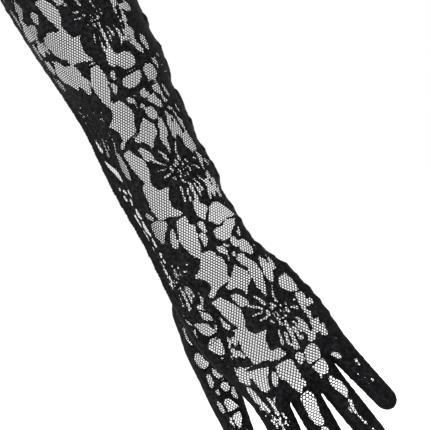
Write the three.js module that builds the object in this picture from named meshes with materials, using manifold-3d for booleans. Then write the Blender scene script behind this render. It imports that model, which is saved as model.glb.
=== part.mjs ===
// An elbow-length lace glove for a left hand, in the shape that it has when it is worn.
// Two lace panels, one for the back and one for the palm, are joined by a seam that runs down
// one side, round every finger and up the other side. Each panel is modelled as a sleeve, a
// hand and four fingers, and the seam as its two sides and a loop round each finger. The thumb
// is set in: it has two lace halves, a seam along both its sides and one round its root. A hem
// finishes the edge at the elbow. All of it is hollow.
//
// Millimetres, +Z up. The origin is the middle of the arm opening and the glove hangs from
// it, with the back of the hand facing -Y and the little finger on the +X side.
import * as THREE from 'three';
import { mergeVertices } from 'three/addons/utils/BufferGeometryUtils.js';
import Module from 'manifold-3d';

const wasm = await Module();
wasm.setup();

// Cloth thicknesses and seam widths
const laceWall = 1.0;
const hemHeight = 10;
const hemWall = 1.6;
const hemProud = 0.3;
const seamHalf = 4.5; // from the stitching to the seam's edge, over the cloth
const seamWall = 1.5;
const seamProud = 0.3;
const gap = 0.3; // between neighbouring pieces
const collarHeight = 2.6; // of the seam round the thumb's root
const collarWall = 0.8;

// Faceting
const columns = 16; // facets across one panel, four to each finger
const fingerColumns = 4;
const sleeveSections = 34;
const thumbColumns = 16;
const mergeWithin = 0.001; // corners closer than this are one

// Scallops that the side seam draws into the sleeve's right edge
const scallopLength = 39;
const scallopDepth = 1.6;
const scallopCrest = 80; // the station of the first one's widest point
const scallopStart = 60;
const scallopEnd = 258;

// A loose fold of cloth that stands out at the sleeve's left edge
const flapAngle = THREE.MathUtils.degToRad(27);
const flapFlatness = 0.7;
const flapWidth = 7;

// Sections of the sleeve and hand, from the opening to the knuckles. station is how far down
// the middle of the section is, slant is how much lower its left end is than its right one,
// left and right are its edges, back and palm are its depths and flap is the fold's width.
const sectionColumns = ['slant', 'left', 'right', 'back', 'palm', 'flap'];
const sections = [
  // station, [slant, left, right, back, palm, flap]
  [0, [0, -40.0, 41.0, 37.0, 37.0, 0]],
  [30, [0, -40.2, 40.8, 37.0, 37.0, 0]],
  [61, [0, -38.6, 39.6, 36.0, 36.0, 0]],
  [81, [0, -37.0, 38.6, 34.5, 35.0, 0]],
  [101, [0, -34.9, 38.4, 33.0, 33.5, 1]],
  [121, [0, -33.1, 37.2, 31.0, 32.0, 4]],
  [141, [0, -32.1, 34.6, 29.0, 30.0, 7]],
  [161, [0, -33.0, 33.2, 27.0, 28.0, 7]],
  [181, [0, -33.8, 32.2, 25.0, 26.0, 7]],
  [201, [0, -33.4, 32.2, 23.5, 24.5, 7]],
  [221, [0, -32.7, 30.6, 22.0, 22.5, 7]],
  [241, [0, -33.3, 31.4, 20.5, 21.0, 6]],
  [256, [0, -34.0, 33.4, 19.5, 20.5, 3]],
  [271, [0.5, -34.0, 40.4, 18.5, 20.0, 0.5]],
  [285, [1.5, -33.5, 45.9, 17.0, 19.0, 0]],
  [297, [2.0, -32.5, 49.0, 15.5, 17.5, 0]],
  [309, [2.5, -30.0, 51.8, 14.5, 16.0, 0]],
  [319, [3.0, -26.6, 53.3, 13.5, 14.2, 0]],
  [327, [4.0, -23.6, 54.0, 12.6, 12.6, 0]],
];
const wristStation = 256;
const knuckleStation = 327;

// Where the fingers part: the index finger's outer side, three forks, the little finger's side
// and, across and down the hand, the way from each of them into the cloth
const forks = [
  { x: -18.9, down: 349.0, inwards: [1, 0] },
  { x: 4.0, down: 356.0, inwards: [0, -1] },
  { x: 23.4, down: 356.5, inwards: [0, -1] },
  { x: 40.1, down: 345.7, inwards: [0, -1] },
  { x: 55.3, down: 336.0, inwards: [-1, 0] },
];
const forkDepth = 6; // radius of the cloth's turn from back to palm there
const webRows = 3; // between the knuckles and the forks
const webDip = 1.6; // how late the valleys between the fingers drop

// lean is each finger's angle across the hand, curl its bend towards the palm at base and tip,
// and radii run from just past the fork to just before the rounded tip.
const fingers = [
  { name: 'index', lean: -1.6, curl: [1, 10], length: 66.5, radii: [10.4, 9.9, 9.3, 8.5] },
  { name: 'middle', lean: 2.5, curl: [2, 12], length: 75.4, radii: [10.0, 10.0, 9.5, 8.8] },
  { name: 'ring', lean: 10.4, curl: [3, 14], length: 70.5, radii: [9.3, 9.0, 8.8, 8.2] },
  { name: 'little', lean: 15.3, curl: [2, 12], length: 53.5, radii: [8.2, 7.7, 7.2, 6.9] },
];
const fingerDepth = 0.88; // of a finger's width
const baseBlend = 12; // along which a finger's oblique root turns square to it
const fingerRows = [0, 0.15, 0.32, 0.5, 0.68, 0.85, 1]; // of its straight part
const tipLength = 8.5; // of a fingertip's rounded end
const tipRows = [0.36, 0.66]; // of the rounded end, before the lace closes over it

// The thumb's middle line from inside the hand to the tip, and its radius there
const thumbLine = [
  { x: -17.0, y: 7.0, down: 259, radius: 9.0 },
  { x: -23.6, y: 11.0, down: 273, radius: 13.2 },
  { x: -25.8, y: 14.5, down: 287, radius: 13.6 },
  { x: -28.0, y: 16.5, down: 301, radius: 13.8 },
  { x: -30.2, y: 17.8, down: 319, radius: 12.2 },
  { x: -32.4, y: 18.6, down: 336, radius: 10.9 },
  { x: -34.0, y: 19.0, down: 354, radius: 9.4 },
  { x: -36.1, y: 18.8, down: 371, radius: 8.9 },
  { x: -37.6, y: 18.0, down: 387.5, radius: 0 },
];
const thumbDepth = 0.94; // of its width
const thumbRows = 14;
const thumbCrowding = 1.35; // of the rows towards the tip
const thumbTip = 9; // of its rounded end
const thumbPatches = {
  seam: [-1, 0, 7, 8],
  front: [1, 2, 3, 4, 5, 6],
  back: [9, 10, 11, 12, 13, 14],
};

const lerp = THREE.MathUtils.lerp;
const radians = THREE.MathUtils.degToRad;

// The section at a station, with smooth values between the rows of the table
const smoothSections = new THREE.CubicInterpolant(
  sections.map(([station]) => station),
  sections.flatMap(([, values]) => values),
  sectionColumns.length,
);
function sectionAt(station) {
  const values = smoothSections.evaluate(station);
  const section = { station };
  sectionColumns.forEach((name, i) => (section[name] = values[i]));
  const inside = Math.min(station - scallopStart, scallopEnd - station);
  const fade = THREE.MathUtils.clamp(inside / scallopLength, 0, 1);
  const wave = Math.abs(Math.cos((Math.PI * (station - scallopCrest)) / scallopLength));
  section.right -= scallopDepth * fade * (1 - wave);
  return section;
}

// A point of a section. side is -1 for the back and 1 for the palm, and the angle runs from
// the left seam at 0 to the right one at pi.
function sectionPoint(section, side, angle) {
  const { station, slant, left, right, flap } = section;
  const across = -Math.cos(angle);
  const half = (right - left - flap) / 2;
  const pinch = Math.max(0, 1 - angle / flapAngle);
  const flat = flapFlatness * pinch * Math.min(1, flap / flapWidth);
  const depth = side < 0 ? section.back : section.palm;
  return new THREE.Vector3(
    right - half + across * half - flap * pinch,
    side * depth * Math.sin(angle) * (1 - flat),
    -(station - slant * across),
  );
}

// How far round a panel a share of its width lies. Down to the wrist it is even, and at the
// knuckles each quarter of it meets a finger.
const knuckles = sectionAt(knuckleStation);
const forkAngles = forks.map(({ x }, i) => {
  if (i === 0) return 0;
  if (i === fingers.length) return Math.PI;
  const middle = (knuckles.left + knuckles.right) / 2;
  return Math.acos((2 * (middle - x)) / (knuckles.right - knuckles.left));
});
function roundAngle(share, station) {
  const finger = Math.min(Math.floor(share * fingers.length), fingers.length - 1);
  const within = share * fingers.length - finger;
  const fitted = lerp(forkAngles[finger], forkAngles[finger + 1], within);
  const settled = THREE.MathUtils.smoothstep(station, wristStation, knuckleStation);
  return lerp(Math.PI * share, fitted, settled);
}

// A finger's middle, directions and radius at a distance along it
function fingerFrame(index, along) {
  const { lean, curl, length, radii } = fingers[index];
  const [a, b] = [forks[index], forks[index + 1]];
  const pitch = radians(lerp(curl[0], curl[1], along / length / 2));
  const tilt = radians(lean);
  const forward = new THREE.Vector3(
    Math.sin(tilt) * Math.cos(pitch),
    Math.sin(pitch),
    -Math.cos(tilt) * Math.cos(pitch),
  );
  const settled = THREE.MathUtils.clamp(along / baseBlend, 0, 1);
  const root = new THREE.Vector3(b.x - a.x, 0, a.down - b.down);
  const across = new THREE.Vector3(Math.cos(tilt), 0, Math.sin(tilt));
  across.lerp(root.clone().normalize(), 1 - settled).normalize();
  const middle = new THREE.Vector3((a.x + b.x) / 2, 0, -(a.down + b.down) / 2);
  middle.addScaledVector(forward, along);

  const straight = length - tipLength;
  const share = Math.min(along / straight, 1) * (radii.length - 1);
  const step = Math.min(Math.floor(share), radii.length - 2);
  const full = lerp(radii[step], radii[step + 1], share - step);
  const rounded = Math.max(0, (along - straight) / tipLength);
  const radius = lerp(root.length() / 2, full, settled) * Math.sqrt(1 - rounded ** 2);
  return { middle, forward, across, down: across.clone().cross(forward), radius };
}
function fingerPoint(index, along, side, angle) {
  const { middle, across, down, radius } = fingerFrame(index, along);
  return middle
    .addScaledVector(across, -Math.cos(angle) * radius)
    .addScaledVector(down, side * Math.sin(angle) * radius * fingerDepth);
}
function fingerStations(index) {
  const straight = fingers[index].length - tipLength;
  const tip = tipRows.map((row) => straight + row * tipLength);
  return [...fingerRows.map((row) => row * straight), ...tip];
}

// Points at a distance from the middle of the seam: on a section, at a fork, on a finger's
// side and over its tip
function sectionEdge(section, side, edge, right) {
  const angle = edge / (side < 0 ? section.back : section.palm);
  return sectionPoint(section, side, right ? Math.PI - angle : angle);
}
function forkEdge(index, side, edge) {
  const { x, down, inwards } = forks[index];
  const round = edge / forkDepth;
  const rise = forkDepth * (1 - Math.cos(round));
  return new THREE.Vector3(
    x + rise * inwards[0],
    side * forkDepth * Math.sin(round),
    -(down + rise * inwards[1]),
  );
}
function fingerEdge(index, along, side, edge, right) {
  const angle = edge / (fingerFrame(index, along).radius * fingerDepth);
  return fingerPoint(index, along, side, right ? Math.PI - angle : angle);
}
function tipEdge(index, side, edge) {
  const { length, radii } = fingers[index];
  const { middle, forward, down } = fingerFrame(index, length);
  const round = edge / tipLength;
  return middle
    .addScaledVector(forward, -tipLength * (1 - Math.cos(round)))
    .addScaledVector(down, side * Math.sin(round) * radii.at(-1) * fingerDepth);
}

// A surface of named patches, whose corners merge where they meet
class Skin {
  constructor() {
    this.points = [];
    this.patches = new Map();
    this.found = new Map();
  }
  corner(point) {
    const key = point.toArray().map((v) => Math.round(v / mergeWithin)).join(' ');
    if (!this.found.has(key)) {
      this.found.set(key, this.points.length);
      this.points.push(point);
    }
    return this.found.get(key);
  }
  // Joins rows of points with triangles that face the way a row runs, crossed with the way to
  // the next row, or the other way if they are turned
  grid(patch, rows, turned = false) {
    const triangles = this.patches.get(patch) ?? [];
    this.patches.set(patch, triangles);
    for (let r = 0; r + 1 < rows.length; r++) {
      for (let c = 0; c + 1 < rows[r].length; c++) {
        const quad = [rows[r][c], rows[r][c + 1], rows[r + 1][c + 1], rows[r + 1][c]];
        const corners = quad.map((point) => this.corner(point));
        const [i, j, k, l] = turned ? corners.reverse() : corners;
        const halves = [[i, j, k], [i, k, l]];
        triangles.push(...halves.filter(([a, b, d]) => a !== b && b !== d && a !== d));
      }
    }
  }
  // The surface's normal at each point, which an end cap has no part in
  normals() {
    const sums = this.points.map(() => new THREE.Vector3());
    for (const [patch, triangles] of this.patches) {
      if (patch === 'cap') continue;
      for (const triangle of triangles) {
        const [a, b, c] = triangle.map((i) => this.points[i]);
        const normal = b.clone().sub(a).cross(c.clone().sub(a));
        triangle.forEach((i) => sums[i].add(normal));
      }
    }
    return sums.map((sum) => sum.normalize());
  }
  // The patches whose names start like this, as a closed wall between two offsets, whose rim
  // keeps inside their edge
  wall(named, inner, outer, inside = gap / 2) {
    const under = this.points.length;
    const chosen = [...this.patches].filter(([patch]) => patch.startsWith(named));
    const triangles = chosen.flatMap(([, faces]) => faces);
    const edges = new Map();
    for (const [a, b, c] of triangles) {
      for (const [from, to] of [[a, b], [b, c], [c, a]]) edges.set(`${from} ${to}`, [from, to]);
    }
    const rim = [...edges.values()].filter(([from, to]) => !edges.has(`${to} ${from}`));
    const normals = this.normals();
    const inwards = this.points.map(() => new THREE.Vector3());
    for (const [from, to] of rim) {
      const along = this.points[to].clone().sub(this.points[from]);
      for (const i of [from, to]) inwards[i].add(normals[i].clone().cross(along).normalize());
    }
    const inset = this.points.map((point, i) =>
      point.clone().addScaledVector(inwards[i], (2 * inside) / Math.max(inwards[i].lengthSq(), 1)),
    );
    const layer = (offset) => inset.map((p, i) => p.clone().addScaledVector(normals[i], offset));
    const faces = [
      ...triangles,
      ...triangles.map(([a, b, c]) => [under + a, under + c, under + b]),
      ...rim.flatMap(([from, to]) => [[to, from, under + from], [to, under + from, under + to]]),
    ];
    return geometry([...layer(outer), ...layer(inner)], faces);
  }
  // The closed surface moved outwards, as a solid
  body(offset) {
    const normals = this.normals();
    const moved = this.points.map((p, i) => p.clone().addScaledVector(normals[i], offset));
    return solid(geometry(moved, [...this.patches.values()].flat()));
  }
}
function geometry(points, faces) {
  const used = [...new Set(faces.flat())];
  const place = new Map(used.map((point, i) => [point, i]));
  const positions = used.flatMap((point) => points[point].toArray());
  const made = new THREE.BufferGeometry();
  made.setAttribute('position', new THREE.Float32BufferAttribute(positions, 3));
  made.setIndex(faces.flat().map((point) => place.get(point)));
  return made;
}

// Between geometry and the solids that can be joined and cut
function solid(shape) {
  const merged = mergeVertices(shape, mergeWithin);
  const vertProperties = merged.attributes.position.array;
  const triVerts = new Uint32Array(merged.index.array);
  return new wasm.Manifold(new wasm.Mesh({ numProp: 3, vertProperties, triVerts }));
}
function largestBody(cut) {
  const [largest] = cut.decompose().sort((a, b) => b.volume() - a.volume());
  const { vertProperties, triVerts } = largest.getMesh();
  const made = new THREE.BufferGeometry();
  made.setAttribute('position', new THREE.BufferAttribute(vertProperties, 3));
  made.setIndex(new THREE.BufferAttribute(triVerts, 1));
  return made;
}

// The skin of the sleeve, hand and fingers, in patches named back, palm and seam with the part
// of the glove that they are on. The top of the sleeve is closed by a cap, which only the whole
// solid uses.
const sleeveStations = Array.from({ length: sleeveSections + 1 }, (_, i) =>
  lerp(hemHeight, knuckleStation, i / sleeveSections),
);
const wristRow = sleeveStations.findLastIndex((station) => station < wristStation);
function webPoint(from, to, share) {
  const point = from.clone().lerp(to, share);
  point.y = lerp(from.y, to.y, share ** webDip);
  return point;
}

// The outline as functions of side and edge, in stretches that share their end points: down the
// left side, round each finger and up the right side
function outlineStretches() {
  const sleeveSide = (right) =>
    sleeveStations.map((station) => {
      const section = sectionAt(station);
      return (side, edge) => sectionEdge(section, side, edge, right);
    });
  const web = (from, to) =>
    Array.from({ length: webRows - 1 }, (_, i) => (side, edge) =>
      webPoint(from(side, edge), to(side, edge), (i + 1) / webRows),
    );
  const fork = (index) => (side, edge) => forkEdge(index, side, edge);
  const left = sleeveSide(false);
  const right = sleeveSide(true);
  const loops = fingers.map(({ name }, index) => {
    const rows = fingerStations(index).slice(1);
    const fingerSide = (onRight) => (along) => (side, edge) =>
      fingerEdge(index, along, side, edge, onRight);
    const tip = (side, edge) => tipEdge(index, side, edge);
    const [down, up] = [rows.map(fingerSide(false)), rows.toReversed().map(fingerSide(true))];
    return [name, [fork(index), ...down, tip, ...up, fork(index + 1)]];
  });
  const last = fork(fingers.length);
  return [
    ['left', [...left, ...web(left.at(-1), fork(0)), fork(0)]],
    ...loops,
    ['right', [last, ...web(right.at(-1), last).reverse(), ...right.reverse()]],
  ];
}

// One side of the sleeve and hand, as rows down to the forks between the fingers
function panelRows(side) {
  const rows = sleeveStations.map((station) => {
    const section = sectionAt(station);
    const first = seamHalf / (side < 0 ? section.back : section.palm);
    return Array.from({ length: columns + 1 }, (_, column) => {
      const round = roundAngle(column / columns, station) / Math.PI;
      return sectionPoint(section, side, lerp(first, Math.PI - first, round));
    });
  });
  const knuckleRow = rows.at(-1);
  const roots = fingers.flatMap((_, index) => [
    forkEdge(index, side, seamHalf),
    ...fingerRow(index, 0, side).slice(1, -1),
  ]);
  roots.push(forkEdge(fingers.length, side, seamHalf));
  for (let row = 1; row <= webRows; row++) {
    rows.push(knuckleRow.map((point, i) => webPoint(point, roots[i], row / webRows)));
  }
  return rows;
}
function fingerRow(index, along, side) {
  const first = seamHalf / (fingerFrame(index, along).radius * fingerDepth);
  return Array.from({ length: fingerColumns + 1 }, (_, i) =>
    fingerPoint(index, along, side, lerp(first, Math.PI - first, i / fingerColumns)),
  );
}

function makeHandSkin() {
  const skin = new Skin();
  const middle = [new THREE.Vector3(0, 0, -sleeveStations[0])];
  const cap = (row, turned) => skin.grid('cap', [row.flatMap(() => middle), row], turned);
  const seams = outlineStretches().map(([name, path]) => {
    const rows = path.map((at) => [at(-1, seamHalf), at(-1, 0), at(1, seamHalf)]);
    skin.grid(`seam_${name}`, rows);
    return rows;
  });
  cap(seams[0][0], false);
  cap(seams.at(-1).at(-1), true);
  for (const [face, side] of [['back', -1], ['palm', 1]]) {
    const rows = panelRows(side);
    skin.grid(`${face}_sleeve`, rows.slice(0, wristRow + 1), side < 0);
    skin.grid(`${face}_hand`, rows.slice(wristRow), side < 0);
    cap(rows[0], side < 0);
    fingers.forEach(({ name }, index) => {
      const start = index * fingerColumns;
      const root = rows.at(-1).slice(start, start + fingerColumns + 1);
      const finger = fingerStations(index).slice(1).map((along) => fingerRow(index, along, side));
      const tip = root.map(() => tipEdge(index, side, seamHalf));
      skin.grid(`${face}_${name}`, [root, ...finger, tip], side < 0);
    });
  }
  return skin;
}

// The thumb's skin, in patches named front, back and seam. The seam also closes its tip.
function makeThumbSkin() {
  const line = new THREE.CatmullRomCurve3(
    thumbLine.map(({ x, y, down }) => new THREE.Vector3(x, y, -down)),
  );
  const ringed = thumbLine.slice(0, -1);
  const radiusAt = new THREE.CubicInterpolant(
    ringed.map((_, i) => i),
    ringed.map(({ radius }) => radius),
    1,
  );
  const [start, tip] = [line.getPoint(0), line.getPoint(1)];
  const ring = (row) => (column) => {
    const at = 1 - (1 - row / thumbRows) ** thumbCrowding;
    const middle = line.getPoint(at);
    const forward = line.getTangent(at);
    const across = new THREE.Vector3(0, 1, 0).cross(forward).normalize();
    const down = forward.clone().cross(across);
    const [full] = radiusAt.evaluate(Math.min(at * ringed.length, ringed.length - 1));
    const rounded = Math.max(0, 1 - tip.distanceTo(middle) / thumbTip);
    const radius = full * Math.sqrt(1 - rounded ** 2);
    const angle = (2 * Math.PI * column) / thumbColumns;
    return middle
      .addScaledVector(across, Math.cos(angle) * radius)
      .addScaledVector(down, Math.sin(angle) * radius * thumbDepth);
  };
  const rings = Array.from({ length: thumbRows }, (_, row) => ring(row));
  const skin = new Skin();
  for (const [patch, patchColumns] of Object.entries(thumbPatches)) {
    for (const column of patchColumns) {
      const pair = (at) => [at(column), at(column + 1)];
      skin.grid(patch, rings.map(pair));
      skin.grid('seam', [rings.at(-1), () => tip].map(pair));
      skin.grid('cap', [() => start, rings[0]].map(pair));
    }
  }
  return skin;
}

// The pieces. Where the seam turns sharply at a fork, it would crowd the lace beside it, so
// the lace is trimmed there by the seam grown by a little less than the gap.
const handSkin = makeHandSkin();
const thumbSkin = makeThumbSkin();
const thumbSpace = thumbSkin.body(gap);
const handSpace = handSkin.body(seamProud + gap);
const trim = 0.93 * gap;
const grownSeam = [seamProud - seamWall - trim, seamProud + trim, gap / 2 - trim];
const seamSpace = solid(handSkin.wall('seam', ...grownSeam));

function lacePanel(patch) {
  const lace = solid(handSkin.wall(patch, -laceWall, 0)).subtract(seamSpace);
  return largestBody(lace.subtract(thumbSpace));
}

function outlineSeam(patch) {
  const seam = solid(handSkin.wall(patch, seamProud - seamWall, seamProud));
  return largestBody(seam.subtract(thumbSpace));
}

function thumbPanel(patch) {
  return largestBody(solid(thumbSkin.wall(patch, -laceWall, 0)).subtract(handSpace));
}

function thumbSideSeam() {
  const seam = solid(thumbSkin.wall('seam', -laceWall, 0));
  return largestBody(seam.subtract(handSpace));
}

function thumbRootSeam() {
  const collar = thumbSkin.body(gap + collarWall).subtract(thumbSpace);
  const layer = handSkin.body(seamProud + gap + collarHeight).subtract(handSpace);
  return largestBody(collar.intersect(layer));
}

function topHem() {
  const skin = new Skin();
  const rows = [0, hemHeight].map((station) => {
    const section = sectionAt(station);
    const half = (side) =>
      Array.from({ length: columns + 1 }, (_, i) =>
        sectionPoint(section, side, (Math.PI * i) / columns),
      );
    return [...half(1), ...half(-1).reverse().slice(1)];
  });
  skin.grid('hem', rows);
  return skin.wall('hem', hemProud - hemWall, hemProud);
}

// Black nylon lace, and the denser black of its doubled seams and hem
const laceCloth = new THREE.MeshStandardMaterial({ color: 0x17161a, roughness: 0.78, metalness: 0 });
const seamCloth = new THREE.MeshStandardMaterial({ color: 0x0e0d10, roughness: 0.7, metalness: 0 });
const hemCloth = new THREE.MeshStandardMaterial({ color: 0x121114, roughness: 0.74, metalness: 0 });

const glove = new THREE.Group();
const handPatches = [...handSkin.patches.keys()].filter((patch) => patch !== 'cap');
const pieces = [
  ...handPatches.map((patch) =>
    patch.startsWith('seam')
      ? [patch, outlineSeam(patch), seamCloth]
      : [patch, lacePanel(patch), laceCloth],
  ),
  ['thumb_back', thumbPanel('back'), laceCloth],
  ['thumb_front', thumbPanel('front'), laceCloth],
  ['thumb_side_seam', thumbSideSeam(), seamCloth],
  ['thumb_root_seam', thumbRootSeam(), seamCloth],
  ['top_hem', topHem(), hemCloth],
];
for (const [name, shape, cloth] of pieces) {
  const mesh = new THREE.Mesh(shape, cloth);
  mesh.name = name;
  glove.add(mesh);
}

export default glove;
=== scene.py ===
import math

import bmesh
import bpy
import numpy as np
from mathutils import Matrix, Vector


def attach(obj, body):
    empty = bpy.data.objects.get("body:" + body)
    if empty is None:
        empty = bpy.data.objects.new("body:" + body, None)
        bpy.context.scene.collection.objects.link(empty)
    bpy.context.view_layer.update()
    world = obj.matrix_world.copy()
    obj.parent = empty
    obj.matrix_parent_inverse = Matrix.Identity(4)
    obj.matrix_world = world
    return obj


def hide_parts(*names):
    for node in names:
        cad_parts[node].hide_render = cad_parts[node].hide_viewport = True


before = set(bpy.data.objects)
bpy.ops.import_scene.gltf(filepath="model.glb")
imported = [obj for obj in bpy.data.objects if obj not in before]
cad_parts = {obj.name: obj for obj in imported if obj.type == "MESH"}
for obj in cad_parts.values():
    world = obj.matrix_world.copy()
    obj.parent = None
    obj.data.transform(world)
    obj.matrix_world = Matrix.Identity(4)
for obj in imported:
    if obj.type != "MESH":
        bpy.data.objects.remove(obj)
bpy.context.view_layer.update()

mm = 0.001  # the tables below are in millimetres, and meshes are made in metres

# The worn shape, the same as the solids': sections down to the knuckles, the forks between
# the fingers, the fingers and the thumb
sectionNames = ["slant", "left", "right", "back", "palm", "flap"]
sectionRows = [
    # station, slant, left, right, back, palm, flap
    [0, 0, -40.0, 41.0, 37.0, 37.0, 0],
    [30, 0, -40.2, 40.8, 37.0, 37.0, 0],
    [61, 0, -38.6, 39.6, 36.0, 36.0, 0],
    [81, 0, -37.0, 38.6, 34.5, 35.0, 0],
    [101, 0, -34.9, 38.4, 33.0, 33.5, 1],
    [121, 0, -33.1, 37.2, 31.0, 32.0, 4],
    [141, 0, -32.1, 34.6, 29.0, 30.0, 7],
    [161, 0, -33.0, 33.2, 27.0, 28.0, 7],
    [181, 0, -33.8, 32.2, 25.0, 26.0, 7],
    [201, 0, -33.4, 32.2, 23.5, 24.5, 7],
    [221, 0, -32.7, 30.6, 22.0, 22.5, 7],
    [241, 0, -33.3, 31.4, 20.5, 21.0, 6],
    [256, 0, -34.0, 33.4, 19.5, 20.5, 3],
    [271, 0.5, -34.0, 40.4, 18.5, 20.0, 0.5],
    [285, 1.5, -33.5, 45.9, 17.0, 19.0, 0],
    [297, 2.0, -32.5, 49.0, 15.5, 17.5, 0],
    [309, 2.5, -30.0, 51.8, 14.5, 16.0, 0],
    [319, 3.0, -26.6, 53.3, 13.5, 14.2, 0],
    [327, 4.0, -23.6, 54.0, 12.6, 12.6, 0],
]
sleeve = {
    "wrist": 256, "knuckles": 327,
    "scallop": 39, "scallopDepth": 1.6, "scallopCrest": 80, "scallopFrom": 60, "scallopTo": 258,
    "flapAngle": math.radians(27), "flapFlatness": 0.7, "flapWidth": 7,
}
forks = {
    "x": [-18.9, 4.0, 23.4, 40.1, 55.3],
    "down": [349.0, 356.0, 356.5, 345.7, 336.0],
    "inwards": [(1, 0), (0, -1), (0, -1), (0, -1), (-1, 0)],
    "depth": 6, "webDip": 1.6,
}
fingers = [
    {"lean": -1.6, "curl": (1, 10), "length": 66.5, "radii": (10.4, 9.9, 9.3, 8.5)},
    {"lean": 2.5, "curl": (2, 12), "length": 75.4, "radii": (9.7, 9.6, 9.1, 8.5)},
    {"lean": 10.9, "curl": (3, 14), "length": 70.5, "radii": (8.9, 8.6, 8.4, 8.0)},
    {"lean": 15.3, "curl": (2, 12), "length": 53.5, "radii": (8.2, 7.7, 7.2, 6.9)},
]
fingerShape = {"depth": 0.88, "baseBlend": 7, "tip": 8.5}
thumbRows = [
    # x, y, down, radius
    [-17.0, 7.0, 259, 9.0],
    [-23.6, 11.0, 273, 13.2],
    [-25.8, 14.5, 287, 13.6],
    [-28.0, 16.5, 301, 13.8],
    [-30.2, 17.8, 319, 12.2],
    [-32.4, 18.6, 336, 10.9],
    [-34.0, 19.0, 354, 9.4],
    [-36.1, 18.8, 371, 8.9],
    [-37.6, 18.0, 387.5, 0],
]
thumbShape = {
    "depth": 0.94, "crowding": 1.35, "tip": 9,
    "rows": 14, "column": np.pi / 8,  # rows down the thumb, and the angle of a column
    "steps": 40, "around": 13,  # points of the cage down the thumb and across each half
    "besideHand": (-345, -245),
}
seamHalf = 4.5  # from the stitching to the lace, over the cloth


def smoothTable(rows, at):
    # smooth values between the rows of a table, whose first column is where each row lies
    table = np.array(rows, float)
    where, values = table[:, 0], table[:, 1:]
    slopes = np.gradient(values, axis=0) / np.gradient(where)[:, None]
    i = np.clip(np.searchsorted(where, at, "right") - 1, 0, len(where) - 2)
    width = (where[i + 1] - where[i])[..., None]
    t = (np.asarray(at, float) - where[i])[..., None] / width
    start = (2 * t**3 - 3 * t**2 + 1) * values[i] + (t**3 - 2 * t**2 + t) * width * slopes[i]
    return start + (3 * t**2 - 2 * t**3) * values[i + 1] + (t**3 - t**2) * width * slopes[i + 1]


def smoothStep(t):
    t = np.clip(t, 0, 1)
    return t * t * (3 - 2 * t)


def unit(vectors):
    return vectors / np.linalg.norm(vectors, axis=-1, keepdims=True)


def arcLengths(points):
    # how far along its row each point lies
    steps = np.linalg.norm(np.diff(points, axis=-2), axis=-1)
    return np.concatenate([np.zeros(steps.shape[:-1] + (1,)), np.cumsum(steps, axis=-1)], axis=-1)


def sectionAt(station):
    station = np.asarray(station, float)
    values = smoothTable(sectionRows, station)
    section = {name: values[..., i] for i, name in enumerate(sectionNames)}
    inside = np.minimum(station - sleeve["scallopFrom"], sleeve["scallopTo"] - station)
    fade = np.clip(inside / sleeve["scallop"], 0, 1)
    wave = np.abs(np.cos(np.pi * (station - sleeve["scallopCrest"]) / sleeve["scallop"]))
    section["right"] = section["right"] - sleeve["scallopDepth"] * fade * (1 - wave)
    section["half"] = (section["right"] - section["left"] - section["flap"]) / 2
    section["station"] = station
    return section


def sectionPoint(section, side, angle):
    # side is -1 for the back and 1 for the palm, and angle runs from 0, left, to pi, right
    s = {name: value[..., None] for name, value in section.items()}
    across = -np.cos(angle)
    pinch = np.maximum(0, 1 - angle / sleeve["flapAngle"])
    flat = sleeve["flapFlatness"] * pinch * np.minimum(1, s["flap"] / sleeve["flapWidth"])
    depth = np.where(side < 0, s["back"], s["palm"])
    x = s["right"] - s["half"] + across * s["half"] - s["flap"] * pinch
    y = side * depth * np.sin(angle) * (1 - flat)
    return np.stack([x, y, s["slant"] * across - s["station"]], axis=-1)


knuckles = sectionAt(sleeve["knuckles"])
knuckleMiddle = (knuckles["left"] + knuckles["right"]) / 2
knuckleHalf = (knuckles["right"] - knuckles["left"]) / 2
forkAngles = [0] + [math.acos((knuckleMiddle - x) / knuckleHalf) for x in forks["x"][1:-1]] + [math.pi]


def towardsKnuckles(station):
    # from 0 at the wrist to 1 at the knuckles
    return smoothStep((station - sleeve["wrist"]) / (sleeve["knuckles"] - sleeve["wrist"]))


def roundAngle(share, station):
    # even down to the wrist, and at the knuckles each quarter of a panel meets a finger
    fitted = np.interp(share * len(fingers), range(len(forkAngles)), forkAngles)
    return np.pi * share + (fitted - np.pi * share) * towardsKnuckles(station)


def fingerFrame(index, along):
    # the finger's middle, the ways ahead, across and towards the palm, and its radius
    finger = fingers[index]
    along = np.asarray(along, float)
    low, high = finger["curl"]
    pitch = np.radians(low + (high - low) * along / finger["length"] / 2)
    tilt = math.radians(finger["lean"])
    forward = np.stack([math.sin(tilt) * np.cos(pitch), np.sin(pitch),
                        -math.cos(tilt) * np.cos(pitch)], axis=-1)
    settled = np.clip(along / fingerShape["baseBlend"], 0, 1)[..., None]
    (ax, bx), (ad, bd) = forks["x"][index:index + 2], forks["down"][index:index + 2]
    root = np.array([bx - ax, 0, ad - bd])
    across = unit(unit(root) * (1 - settled) + np.array([math.cos(tilt), 0, math.sin(tilt)]) * settled)
    middle = np.array([(ax + bx) / 2, 0, -(ad + bd) / 2]) + forward * along[..., None]
    straight = finger["length"] - fingerShape["tip"]
    radius = np.interp(along / straight * 3, range(4), finger["radii"])
    rounded = np.maximum(0, (along - straight) / fingerShape["tip"])
    radius = np.linalg.norm(root) / 2 * (1 - settled[..., 0]) + radius * settled[..., 0]
    radius = radius * np.sqrt(1 - np.minimum(rounded, 1) ** 2)
    return middle, forward, across, np.cross(across, forward), radius


def fingerDepth(index, along):
    return fingerFrame(index, along)[-1] * fingerShape["depth"]


def fingerPoint(index, along, side, angle):
    middle, _, across, down, radius = fingerFrame(index, along)
    wide = -np.cos(angle) * radius[..., None]
    deep = side * np.sin(angle) * radius[..., None] * fingerShape["depth"]
    offset = across[..., None, :] * wide[..., None] + down[..., None, :] * deep[..., None]
    return middle[..., None, :] + offset


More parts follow.
